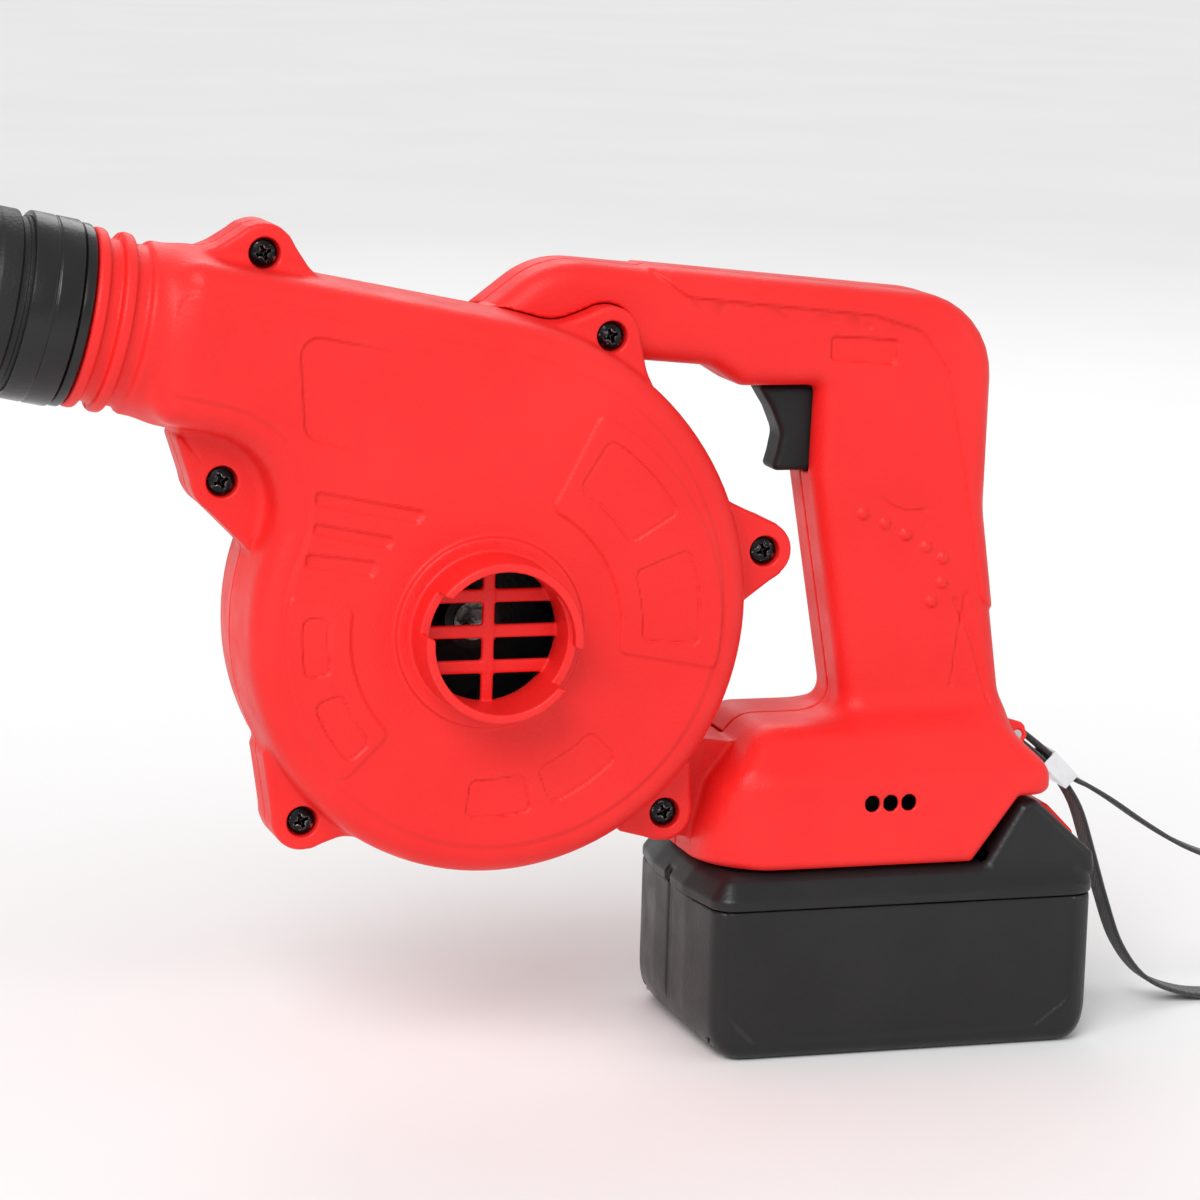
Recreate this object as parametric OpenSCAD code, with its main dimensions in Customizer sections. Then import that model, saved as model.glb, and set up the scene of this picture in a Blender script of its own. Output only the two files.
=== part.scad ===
// Cordless car dryer blower: spiral fan housing with a side intake, a D-shaped handle over a
// sliding battery pack, and a push-on nozzle.
// Millimetres. X runs from the nozzle (minus) to the back of the pack, Z is up, and the intake
// faces minus Y. The origin lies on the battery pack's foot, under the grip.

/* [Part to show] */
// Sub-part to draw

/* [Fan housing] */
// Fan axis, ahead of the middle of the pack
fan_ahead = 126.5; // [120:0.5:132]
// Fan axis, above the floor
fan_z = 128.5; // [126:0.5:131]
// Radius of the spiral at its throat
scroll_r = 68; // [64:1:72]
// Straight part of the spiral's growth, per quarter turn
scroll_grow = 1.5; // [0.5:0.25:2.5]
// Quickening part of the spiral's growth, per quarter turn squared
scroll_swell = 1.75; // [1:0.25:2]
// Depth of the housing, face to back
housing_depth = 49; // [47:1:52]
// Face of the housing, in front of the handle's middle plane
face_out = 36; // [34:1:38]
// Wall thickness of the red shells
wall = 2.2; // [1.8:0.1:2.6]

/* [Duct and neck] */
// Upward tilt of the outlet duct, degrees
duct_tilt = 11.4; // [8:0.2:14]
// Duct axis above the fan axis, measured square to the duct
duct_rise = 62; // [60:0.5:66]
// Radius of the round neck
neck_r = 24; // [23.5:0.5:24.5]
// From the fan axis to the neck's shoulder, along the duct
duct_len = 111; // [104:1:120]
// Radius of the spigot that the nozzle turns on
spigot_r = 22.4; // [21.5:0.1:22.6]

/* [Intake] */
// Inner radius of the intake collar
intake_r = 19.8; // [18:0.1:20.4]
// Outer radius of the intake collar
collar_r = 22.4; // [21.8:0.1:23]
// Height of the intake collar above the face
collar_out = 18; // [14:1:22]
// Depth of the two bayonet gaps in the collar's rim
gap_deep = 7.4; // [6:0.2:7.4]

/* [Handle] */
// Half width of the handle and grip
grip_half = 15; // [14:0.5:17]
// Height of the handle's underside over the trigger
trigger_top = 192.5; // [192:0.25:193]
// Top of the red foot of the grip
base_top = 95; // [93:1:97]
// Half width of the red foot
base_half = 36; // [34:0.5:37]
// Travel of the trigger
trigger_travel = 6; // [3:0.5:6]

/* [Battery pack] */
// Length of the pack
pack_len = 122.5; // [122:0.5:126]
// Width of the pack
pack_w = 75; // [73:1:77]
// Height of the joint between case and lid
pack_seam = 44.5; // [44:0.1:45]
// Diameter of a cell
cell_d = 18.2; // [17.8:0.1:18.4]
// Length of a cell
cell_len = 64; // [62:1:65]
// Travel of the release button
button_travel = 3; // [1.5:0.5:3]

/* [Nozzle] */
// Length of the nozzle past the spigot's end
nozzle_len = 108; // [80:2:140]
// Outer radius at the nozzle's mouth
mouth_r = 17; // [14:0.5:20]

/* [Wrist strap] */
// Width of the webbing
strap_w = 10; // [8:1:12]
// Thickness of the webbing
strap_t = 1.4; // [1:0.2:1.6]

/* [Hidden] */
$fn = 96;

RED = [0.88, 0.09, 0.08];
BLACK = [0.07, 0.07, 0.075];
STEEL = [0.72, 0.73, 0.75];
COPPER = [0.78, 0.45, 0.25];

e = 0.05;
fan_x = -fan_ahead;
face_y = -face_out;
back_y = face_y + housing_depth;
seam_y = (face_y + back_y) / 2;
throat_r = 20;
rib_r = 24.8;
step_r = 26.8;
neck_x = fan_x - duct_len * cos(duct_tilt) + duct_rise * sin(duct_tilt);
neck_z = fan_z + duct_len * sin(duct_tilt) + duct_rise * cos(duct_tilt);

// Rounding of the housing's edges, as [distance from the seam, inset of the outline]
edge_steps = [[0, 0], [17.5, 1.8], [20.9, 4], [23.1, 7], [24.5, 7]];
hollow_steps = [[0, 0], [16.5, 2.2], [20, 4.8], [22.1, 4.8]];

lug_front = seam_y - 10;
lug_back = seam_y + 10;
lug_r = 8.3;
// Screw centre and the two points where each lug leaves the outline, counterclockwise
lugs = [
  [[-188, 232], [-174, 226], [-204, 232]],
  [[-199, 169.5], [-213, 185], [-191, 150]],
  [[-88.5, 208.5], [-77, 195], [-106, 211]],
  [[-41, 146.5], [-48, 131], [-52, 161]],
  [[-68.5, 71], [-82, 66], [-61, 86]],
  [[-175, 73], [-186.5, 93], [-161, 69]]
];

// Side view of the handle and grip, counterclockwise, as [x, z, corner radius]
grip_view = [[-130, 194, 2], [-80, 200.5, 30], [-56, 198.5, 10], [-46, trigger_top, 5],
  [-23, trigger_top, 2], [-23.5, 166, 6], [-10, 90, 4], [-9, 80, 1], [38.5, 80, 1], [38.5, 96, 16],
  [29.5, 156, 40], [30, 216.5, 24], [-104, 229, 26], [-130, 209, 4]];
grip_steps = [[0, 0], [8, 1.6], [12, 4.2], [grip_half, 4.2]];

// Side view of the red foot, counterclockwise
base_floor = 55.3;
base_view = [[-59, base_floor, 1], [22, base_floor, 1], [36.5, 74, 1], [49, 74, 1],
  [49, 80, 3], [34, base_top, 8], [-40, base_top, 10], [-53, 78, 10]];
// Plan of the red foot
base_plan = [[-59, -base_half, 25], [49, -base_half, 13], [49, base_half, 13], [-59, base_half, 25]];
// Section of the red foot, across the handle
base_cut = [[-base_half, base_floor - 1, 1], [base_half, base_floor - 1, 1], [base_half - 1.5, 80, 6],
  [22, base_top, 8], [-22, base_top, 8], [1.5 - base_half, 80, 6]];

// Shell screws, as [x, z]
shell_posts = [[-62, 212], [12, 202], [21, 124], [-34, 90.5]];

shaft_r = 1.6;
motor_r = 17.9;
motor_front = back_y - 11;
motor_back = motor_front + 45;
cup_r = 32;
cup_back = 56;
fan_r = 53;
fan_front = seam_y - 16.5;
fan_back = seam_y + 7.5;
blades = 9;

pack_half = pack_w / 2;
pack_front = -60;
pack_rear = pack_front + pack_len;
lid_top = 54.5;
// Plan of the pack: the front end bows out a little
pack_plan = [[pack_front + 3.5, -pack_half, 7], [pack_rear - 1, -pack_half, 9], [pack_rear, 0, 60],
  [pack_rear - 1, pack_half, 9], [pack_front + 3.5, pack_half, 7], [pack_front, 14, 20],
  [pack_front, -14, 20]];
// Side view of the pack's case, with its front and rear lower corners rounded off
case_view = [[pack_front - 0.5, -0.5, 14], [pack_rear + 0.5, -0.5, 12], [pack_rear + 0.5, 120, 1],
  [pack_front - 0.5, 120, 1]];
wedge_view = [[24, lid_top - 5, 0.3], [pack_rear - 0.4, lid_top - 5, 0.3], [pack_rear - 1.2, 56, 2],
  [42, 73, 3], [37.2, 71.6, 1.5]];
cell_pitch = 19.6;
cell_rows = [13.6, 33];
post_x = [pack_front + 7.5, pack_rear - 6.5];
blade_y = 12;

trigger_z = 179;
trigger_back = -14;
switch_front = -4;

pin_x = 45;
pin_z = 87;
// Route of the webbing: from the pin, through the crimp, round the loop and back
strap_route = [[46.5, 0, 85.5], [50.5, 0, 82.5], [55.5, 0, 78.5], [60, 0, 74], [64.5, 0, 69.5],
  [69.5, 0, 61.5], [74, 0, 49], [79, 0, 34], [85, 0, 19], [94, 0, 8], [107, 0, 2.5], [122, 0, 1],
  [138, 0, 1], [153, 0, 3.5], [164, 0, 11], [168, 0, 22], [163, 0, 33], [151, 0, 39.5],
  [136, 0, 41], [120, 0, 43], [105, 0, 48.5], [92, 0, 56], [80, 0, 64], [71.5, 0, 69],
  [66.2, 0, 71.6], [61.8, 0, 75.9], [57.3, 0, 80.3], [52.2, 0, 84.4], [48.5, 0, 87.2]];

// ---------- outlines ----------

function unit(v) = v / norm(v);
function leftward(v) = [-v[1], v[0]];
// Outline moved inward by d, for a counterclockwise list
function inset(p, d) = [for (i = [0:len(p) - 1])
  let (m = leftward(unit(p[i] - p[(i + len(p) - 1) % len(p)])),
       n = leftward(unit(p[(i + 1) % len(p)] - p[i])))
  p[i] + d * (m + n) / (1 + m * n)];
// Arc that rounds the corner b between a and c
function corner(a, b, c, r, steps) =
  let (u = unit(a - b), w = unit(c - b), half = acos(u * w) / 2,
       t = min(r / tan(half), norm(a - b) * 0.49, norm(c - b) * 0.49), k = t * tan(half),
       mid = b + unit(u + w) * k / sin(half), s = b + u * t - mid, f = b + w * t - mid,
       a0 = atan2(s[1], s[0]), turn = (atan2(f[1], f[0]) - a0 + 540) % 360 - 180)
  [for (i = [0:steps]) mid + k * [cos(a0 + turn * i / steps), sin(a0 + turn * i / steps)]];
// Rounded outline of [x, y, radius] corners, moved inward by d
function rounded(q, d = 0, steps = 5) =
  let (n = len(q), s = inset([for (v = q) [v[0], v[1]]], d))
  [for (i = [0:n - 1])
    let (a = s[(i + n - 1) % n], b = s[i], c = s[(i + 1) % n],
         side = cross(b - a, c - b) > 0 ? -1 : 1)
    each corner(a, b, c, max(0.2, q[i][2] + side * d), steps)];

// Point beside the fan axis: u along the duct toward the nozzle, v square to it
function by_duct(u, v) = [fan_x - u * cos(duct_tilt) + v * sin(duct_tilt),
  fan_z + u * sin(duct_tilt) + v * cos(duct_tilt)];
// Radius of the spiral, from 83 degrees back to -180 degrees
function spiral_r(a) = scroll_r + scroll_grow * (a + 180) / 90 + scroll_swell * pow((a + 180) / 90, 2);
// The throat's fillet lies outside both the spiral's start and the duct's floor
duct_floor = duct_rise - neck_r;
fillet_v = duct_floor - throat_r;
fillet_u = sqrt(pow(scroll_r + throat_r, 2) - fillet_v * fillet_v);
fillet_a = atan2(fillet_v, fillet_u);
function fan_point(r, a) = [fan_x + r * cos(a), fan_z + r * sin(a)];
// Outline of the fan housing and its duct, moved inward by d
function housing(d = 0, end = 5) = concat(
  [by_duct(duct_len - end, duct_rise + neck_r - d)],
  [for (a = [83:-3:-178]) fan_point(spiral_r(a) - d, a)],
  [for (a = [180:-3:182 - duct_tilt - fillet_a]) fan_point(scroll_r - d, a)],
  [for (i = [0:8]) let (a = 180 + fillet_a - i * (90 + fillet_a) / 8)
    by_duct(fillet_u + (throat_r + d) * cos(a), fillet_v + (throat_r + d) * sin(a))],
  [by_duct(duct_len - end, duct_floor + d)]);

// ---------- helpers ----------

// Side view between two planes across Y
module slab(y0, y1) {
  translate([0, y1, 0])
    rotate([90, 0, 0])
      linear_extrude(y1 - y0)
        children();
}
// Cylinder along Y
module rod_y(x, z, r, y0, y1) {
  translate([x, y1, z])
    rotate([90, 0, 0])
      cylinder(r = r, h = y1 - y0);
}
module tube_y(x, z, r, bore, y0, y1) {
  difference() {
    rod_y(x, z, r, y0, y1);
    rod_y(x, z, bore, y0 - 1, y1 + 1);
  }
}
module box(x0, x1, y0, y1, z0, z1) {
  translate([x0, y0, z0])
    cube([x1 - x0, y1 - y0, z1 - z0]);
}
// Solid of revolution or cylinder standing on the duct's axis, s past the neck's shoulder
module on_duct(s = 0) {
  translate([neck_x, seam_y, neck_z])
    rotate([0, duct_tilt - 90, 0])
      translate([0, 0, s])
        children();
}
// Half of the housing, on one side of its seam: side is -1 for the face, 1 for the back
module housing_steps(steps, side, extra = 0) {
  for (i = [0:len(steps) - 2]) {
    near = steps[i][0];
    far = steps[i + 1][0] + e;
    inward = (i == 0 ? 0 : steps[i][1]) + extra;
    slab(side > 0 ? seam_y + near : seam_y - far, side > 0 ? seam_y + far : seam_y - near)
      polygon(housing(inward, 5 + inward));
  }
}
// Point where a line from p touches the circle round c
function touch(p, c, r, side) =
  let (d = norm(p - c), a = atan2(p[1] - c[1], p[0] - c[0]) + side * acos(r / d))
  c + r * [cos(a), sin(a)];
// The lug's sides cut a little into its round end, which keeps the solids' edges clean
module lug_view(l) {
  side_r = lug_r - 0.2;
  translate(l[0])
    circle(r = lug_r);
  polygon([l[0], touch(l[1], l[0], side_r, 1), l[1], (l[1] + l[2]) / 2 + unit([fan_x, fan_z] - l[0]) * 16,
    l[2], touch(l[2], l[0], side_r, -1)]);
}
// All the lugs, and the web that joins the one under the duct to the housing's throat
module lugs_view() {
  for (l = lugs)
    lug_view(l);
  polygon([[-211, 184], [-192, 152], [-182, 158], [-191, 186]]);
}
module neck_half(side) {
  intersection() {
    union() {
      on_duct(-14)
        cylinder(r = neck_r - 0.2, h = 14);
      on_duct(-2)
        cylinder(r = spigot_r, h = 36);
      for (s = [4.2, 11.6])
        on_duct(s)
          cylinder(r = rib_r, h = 3.5);
    }
    translate([neck_x - 60, side > 0 ? seam_y : seam_y - 40, neck_z - 50])
      cube([100, 40, 100]);
  }
}
module duct_bore() {
  on_duct(-16)
    cylinder(r = spigot_r - 2, h = 60);
}
// Layers of the handle and grip on one side of the middle plane
module grip_half_solid(side) {
  for (i = [0:2]) {
    y0 = grip_steps[i][0];
    y1 = grip_steps[i + 1][0] + (i < 2 ? e : 0);
    slab(side > 0 ? y0 : -y1, side > 0 ? y1 : -y0)
      polygon(rounded(grip_view, i == 0 ? 0 : grip_steps[i][1]));
  }
}
module grip_hollow(side) {
  slab(side > 0 ? -e : -8, side > 0 ? 8 : e)
    polygon(rounded(grip_view, wall + 0.2));
  slab(side > 0 ? 7 : -12.6, side > 0 ? 12.6 : -7)
    polygon(rounded(grip_view, wall + 2.6));
}
// The red foot's block, moved inward by d, between two planes across Y
module base_block(d, y0, y1) {
  intersection() {
    slab(y0, y1)
      polygon(rounded(base_view, d));
    translate([0, 0, 40])
      linear_extrude(60)
        polygon(rounded(base_plan, d));
    rotate([90, 0, 90])
      translate([0, 0, -80])
        linear_extrude(160)
          polygon(rounded(base_cut, d));
  }
}
// Web that joins the housing to the foot
module bridge_view() {
  polygon([[-86, 80], [-72, 64], [-54, 60], [-40, 64], [-40, 88], [-60, 91]]);
}
// Slide-way for the pack, the open back and the trigger's window
module body_openings() {
  box(-46, 60, -20, 20, base_floor - 2, 66);
  box(-46, 60, -24, 24, 58.5, 66);
  box(-32, trigger_back + 16, -6.4, 6.4, 166.6, trigger_top - 0.1);
}
// Posts that carry the shell screws
module posts(y0, y1, r) {
  for (p = shell_posts)
    rod_y(p[0], p[1], r, y0, y1);
}
module coil(axis_pt, dir, len, r, wire, turns) {
  steps = 12 * turns;
  path = [for (i = [0:steps]) [r * cos(30 * i), r * sin(30 * i), wire + (len - 2 * wire) * i / steps]];
  translate(axis_pt)
    rotate(dir)
      sweep(path, [for (p = path) unit([p[0], p[1], 0])], wire, wire, 6);
}
// Closed tube along a path: w is the direction of each ring's first half-width
module sweep(path, w, a, b, sides) {
  n = len(path);
  tangent = [for (i = [0:n - 1]) unit(path[min(i + 1, n - 1)] - path[max(i - 1, 0)])];
  rings = [for (i = [0:n - 1]) let (up = unit(cross(tangent[i], w[i])), side = cross(up, tangent[i]))
    for (k = [0:sides - 1]) path[i] + a * cos(360 * (k + 0.5) / sides) * side
      + b * sin(360 * (k + 0.5) / sides) * up];
  skin = [for (i = [0:n - 2]) for (k = [0:sides - 1])
    let (a = i * sides + k, b = i * sides + (k + 1) % sides)
    each [[a, b, b + sides], [a, b + sides, a + sides]]];
  ends = [[for (k = [sides - 1:-1:0]) k], [for (k = [0:sides - 1]) (n - 1) * sides + k]];
  polyhedron(points = rings, faces = concat(skin, ends), convexity = 6);
}
// Smooth curve through the route's points
function smooth(p, cuts) = [for (i = [0:len(p) - 2]) for (j = [0:cuts - 1])
  let (a = p[max(i - 1, 0)], b = p[i], c = p[i + 1], d = p[min(i + 2, len(p) - 1)], t = j / cuts)
  ((2 * b) + (c - a) * t + (2 * a - 5 * b + 4 * c - d) * t * t + (3 * b - a - 3 * c + d) * t * t * t) / 2,
  p[len(p) - 1]];

// ---------- red shells ----------

module fan_cover() {
  color(RED) {
    difference() {
      union() {
        housing_steps(edge_steps, -1);
        slab(lug_front, seam_y)
          lugs_view();
        neck_half(-1);
        rod_y(fan_x, fan_z, step_r, face_y - 2.5, face_y + 1);
        rod_y(fan_x, fan_z, collar_r, face_y - collar_out, face_y + 1);
      }
      difference() {
        housing_steps(hollow_steps, -1, wall);
        for (l = lugs)
          rod_y(l[0][0], l[0][1], 5.8, lug_front, seam_y + 1);
      }
      duct_bore();
      rod_y(fan_x, fan_z, intake_r, face_y - collar_out - 1, face_y + 4);
      intake_slots();
      for (l = lugs) {
        rod_y(l[0][0], l[0][1], 2.2, lug_front - 1, seam_y + 1);
        rod_y(l[0][0], l[0][1], 4.4, lug_front - 1, lug_front + 3.6);
      }
    }
    intake_grille();
  }
}
// Two bayonet gaps in the collar's rim, each running on as a groove inside the wall
module intake_slots() {
  for (a = [158, -22])
    translate([fan_x, face_y, fan_z])
      rotate([90, -a, 0]) {
        translate([18, -6, collar_out - gap_deep])
          cube([8, 12, 20]);
        translate([0, 0, collar_out - gap_deep])
          rotate_extrude(angle = 58)
            translate([intake_r - 1, 0])
              square([2.3, 4]);
      }
}
module intake_grille() {
  intersection() {
    union() {
      box(fan_x - 1.7, fan_x + 1.7, face_y, face_y + 2.2, fan_z - 22, fan_z + 22);
      for (k = [-1:1])
        box(fan_x - 22, fan_x + 22, face_y + 0.2, face_y + 2, fan_z + 10 * k - 1.9, fan_z + 10 * k + 1.9);
    }
    rod_y(fan_x, fan_z, intake_r + 0.6, face_y - 1, face_y + 3);
  }
}

module body_shell_near() {
  color(RED) {
    difference() {
      union() {
        difference() {
          union() {
            housing_steps(edge_steps, 1);
            slab(seam_y + e, lug_back)
              lugs_view();
            neck_half(1);
            slab(seam_y + e, back_y)
              bridge_view();
          }
          difference() {
            housing_steps(hollow_steps, 1, wall);
            for (l = lugs)
              rod_y(l[0][0], l[0][1], 4.4, seam_y - 1, lug_back);
          }
          duct_bore();
        }
        near_half();
        rod_y(fan_x, fan_z, motor_r + 2.4, motor_front - 2.4, back_y);
      }
      rod_y(fan_x, fan_z, motor_r + 0.1, motor_front, back_y + 1);
      rod_y(fan_x, fan_z, 6.6, motor_front - 5, motor_front + 1);
      for (s = [-1, 1])
        rod_y(fan_x + 12.5 * s, fan_z, 1.7, motor_front - 5, motor_front + 1);
      for (l = lugs)
        rod_y(l[0][0], l[0][1], 1.95, seam_y - 1, lug_back - 2);
    }
  }
}
// Near half of the handle, grip and foot, clear of the fan cover
module near_half() {
  difference() {
    union() {
      difference() {
        union() {
          grip_half_solid(-1);
          base_block(0, -base_half, 0);
        }
        grip_hollow(-1);
        base_block(wall, -base_half, e);
        body_openings();
        base_vents();
        slab(-base_half - 1, 0.1)
          polygon(housing(0.4));
      }
      intersection() {
        posts(-13, 0, 3.6);
        union() {
          grip_half_solid(-1);
          base_block(0, -base_half, 0);
        }
      }
      strap_ears(-1);
    }
    posts(-10, e, 1.55);
    slab(-base_half - 1, seam_y)
      polygon(housing(-0.15));
    for (l = lugs)
      slab(-base_half, seam_y)
        lug_view(l);
    rod_y(pin_x, pin_z, 1.5, -11, 1);
  }
}
// Three counterbored holes in a sunk label plate
module base_vents() {
  box(-18, 10.5, -base_half - 1, -base_half + 1.2, 69.5, 77.5);
  for (k = [-1:1]) {
    rod_y(-4 + 5.6 * k, 74, 2.4, -base_half - 1, -base_half + 2);
    rod_y(-4 + 5.6 * k, 74, 1.3, -base_half - 1, -base_half + 5);
  }
}
// Ears behind the grip that hold the strap's pin
module strap_ears(side) {
  slab(side > 0 ? 6.2 : -9.4, side > 0 ? 9.4 : -6.2)
    polygon([[34, 92.5], [34, 84], [40, 82], [46, 83], [48.5, 86.5], [47, 90.5], [40, 92.5]]);
}

module body_shell_far() {
  color(RED) {
    difference() {
      union() {
        difference() {
          union() {
            grip_half_solid(1);
            base_block(0, 0, base_half);
          }
          grip_hollow(1);
          base_block(wall, -e, base_half);
          body_openings();
          mirror([0, 1, 0])
            base_vents();
          slab(-0.1, back_y + e)
            polygon(housing(-0.15));
          slab(-0.1, back_y + e)
            bridge_view();
        }
        intersection() {
          posts(0, 13, 3.6);
          union() {
            grip_half_solid(1);
            base_block(0, 0, base_half);
          }
        }
        strap_ears(1);
        slab(back_y + e, back_y + wall + e) {
          polygon(housing(9, 20));
          bridge_view();
        }
        rod_y(fan_x, fan_z, cup_r, back_y + e, cup_back);
      }
      rod_y(fan_x, fan_z, cup_r - wall, back_y - 1, cup_back - wall);
      motor_vents();
      posts(-e, 20, 1.95);
      posts(11, 20, 3.4);
      rod_y(pin_x, pin_z, 1.5, -1, 11);
    }
  }
}
// Cooling slots in the end and round the side of the motor's cup
module motor_vents() {
  for (k = [-3:3])
    box(fan_x - 2 * (11 - abs(k)), fan_x + 2 * (11 - abs(k)), cup_back - 5, cup_back + 1,
      fan_z + 6.5 * k - 1.4, fan_z + 6.5 * k + 1.4);
  for (a = [0:20:340])
    translate([fan_x, 0, fan_z])
      rotate([0, a, 0])
        box(-1.5, 1.5, 30, 46, cup_r - 6, cup_r + 4);
}

module cover_screws() {
  color(STEEL)
    for (l = lugs)
      pan_screw(l[0][0], l[0][1], lug_front + 3.6, -1, 3.9, 1.9, 14);
}
module shell_screws() {
  color(STEEL)
    for (p = shell_posts)
      pan_screw(p[0], p[1], 11, 1, 3, 1.5, 18);
}
// Cross-head screw along Y, its head's seat at y, the head on the side given
module pan_screw(x, z, y, side, head_r, r, len) {
  difference() {
    union() {
      rod_y(x, z, head_r, side > 0 ? y : y - 2.6, side > 0 ? y + 2.6 : y);
      rod_y(x, z, r, side > 0 ? y - len : y - e, side > 0 ? y + e : y + len);
    }
    for (a = [0, 90])
      translate([x, y + side * 2.6, z])
        rotate([0, a + 20, 0])
          cube([head_r * 1.25, 3, 0.9], center = true);
  }
}

// ---------- fan and motor ----------

// Curved blade in the side view, from the eye to the rim
function blade_arc(off) = [for (i = [0:8]) let (r = 23 + (fan_r - 25) * i / 8, a = -i * 5 + off / r * 57)
  [r * cos(a), r * sin(a)]];
function reversed(p) = [for (i = [len(p) - 1:-1:0]) p[i]];
module impeller() {
  color(BLACK) {
    difference() {
      union() {
        rod_y(fan_x, fan_z, fan_r, fan_back - 1.6, fan_back);
        rod_y(fan_x, fan_z, 8, fan_back - 15, fan_back);
        for (k = [0:blades - 1])
          translate([fan_x, 0, fan_z])
            rotate([0, 360 / blades * k, 0])
              slab(fan_front + 1, fan_back - 1.5)
                polygon(concat(blade_arc(0.8), reversed(blade_arc(-0.8))));
        tube_y(fan_x, fan_z, fan_r, 23.5, fan_front, fan_front + 1.4);
      }
      rod_y(fan_x, fan_z, shaft_r + 0.01, fan_front - 1, fan_back + 1);
    }
  }
}
module impeller_washer() {
  color(STEEL)
    tube_y(fan_x, fan_z, 5.5, shaft_r + 0.05, fan_back - 16, fan_back - 15);
}
module impeller_nut() {
  color(STEEL)
    difference() {
      slab(fan_back - 20, fan_back - 16)
        translate([fan_x, fan_z])
          circle(r = 4.6, $fn = 6);
      rod_y(fan_x, fan_z, shaft_r + 0.01, fan_back - 21, fan_back - 15);
    }
}
module motor_shaft() {
  color(STEEL)
    rod_y(fan_x, fan_z, shaft_r, fan_back - 22, motor_back + 4);
}
module armature_core() {
  color(STEEL)
    difference() {
      rod_y(fan_x, fan_z, 13.6, motor_front + 9, motor_front + 33);
      rod_y(fan_x, fan_z, shaft_r, motor_front + 8, motor_front + 34);
      for (a = [0:72:288])
        translate([fan_x, 0, fan_z])
          rotate([0, a, 0]) {
            box(-1, 1, motor_front + 8, motor_front + 34, 10, 15);
            box(-3.2, 3.2, motor_front + 8, motor_front + 34, 6, 11);
          }
    }
}
// One coil in each slot, standing a little out of both ends of the core
module armature_windings() {
  color(COPPER)
    for (a = [0:72:288])
      translate([fan_x, 0, fan_z])
        rotate([0, a, 0])
          box(-3, 3, motor_front + 6.5, motor_front + 35.5, 6.2, 10.8);
}
module commutator() {
  color(COPPER)
    tube_y(fan_x, fan_z, 4.2, shaft_r, motor_front + 37, motor_front + 43.4);
}
module motor_can() {
  color(STEEL)
    difference() {
      rod_y(fan_x, fan_z, motor_r, motor_front, motor_back);
      rod_y(fan_x, fan_z, motor_r - 1, motor_front + 1.4, motor_back + 1);
      rod_y(fan_x, fan_z, 4, motor_front - 1, motor_front + 2);
      for (s = [-1, 1])
        rod_y(fan_x + 12.5 * s, fan_z, 1.5, motor_front - 1, motor_front + 2);
    }
}
module motor_magnets() {
  color(BLACK)
    for (s = [0, 180])
      translate([fan_x, 0, fan_z])
        rotate([90, s + 30, 0])
          translate([0, 0, -motor_front - 36])
            rotate_extrude(angle = 120)
              translate([14.4, 0])
                square([2.45, 30]);
}
module motor_end_cap() {
  color(BLACK)
    difference() {
      union() {
        rod_y(fan_x, fan_z, motor_r, motor_back, motor_back + 2);
        rod_y(fan_x, fan_z, motor_r - 1.05, motor_back - 1.5, motor_back);
        rod_y(fan_x, fan_z, 6.2, motor_back, motor_back + 4.5);
      }
      rod_y(fan_x, fan_z, 4, motor_back - 2, motor_back + 5);
    }
}
module motor_brushes() {
  color(BLACK)
    for (s = [-1, 1])
      box(fan_x + s * 7 - 2.7, fan_x + s * 7 + 2.7, motor_front + 38.2, motor_front + 42.2,
        fan_z - 1.8, fan_z + 1.8);
}
module motor_bearings() {
  color(COPPER) {
    tube_y(fan_x, fan_z, 3.98, shaft_r + 0.03, motor_front - 0.5, motor_front + 3.5);
    tube_y(fan_x, fan_z, 3.98, shaft_r + 0.03, motor_back, motor_back + 3.8);
  }
}
module motor_screws() {
  color(STEEL)
    for (s = [-1, 1])
      pan_screw(fan_x + 12.5 * s, fan_z, motor_front - 2.4, -1, 2.6, 1.45, 6);
}

// ---------- nozzle ----------

module nozzle_ring() {
  color(BLACK)
    on_duct(15.6)
      difference() {
        cylinder(r = 25.2, h = 3.2);
        translate([0, 0, -1])
          cylinder(r = spigot_r + 0.08, h = 6);
      }
}
module nozzle_collar() {
  color(BLACK)
    on_duct(19)
      difference() {
        cylinder(r = 25.7, h = 13.6);
        translate([0, 0, -1])
          cylinder(r = 24.1, h = 16);
      }
}
module nozzle_tube() {
  end = 34.5 + nozzle_len;
  color(BLACK)
    on_duct()
      rotate_extrude()
        polygon([[spigot_r + 0.08, 19], [24.08, 19], [24.08, 33.4], [23.6, 33.8], [23.6, 35.4],
          [25.2, 36], [25.2, 41], [24.8, 42], [mouth_r + 0.6, end - 26], [mouth_r, end - 25],
          [mouth_r, end], [mouth_r - 2, end], [mouth_r - 2, end - 25],
          [22.6, 43], [21, 38], [21, 34.6], [spigot_r + 0.08, 34.6]]);
}

// ---------- trigger and switch ----------

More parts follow.
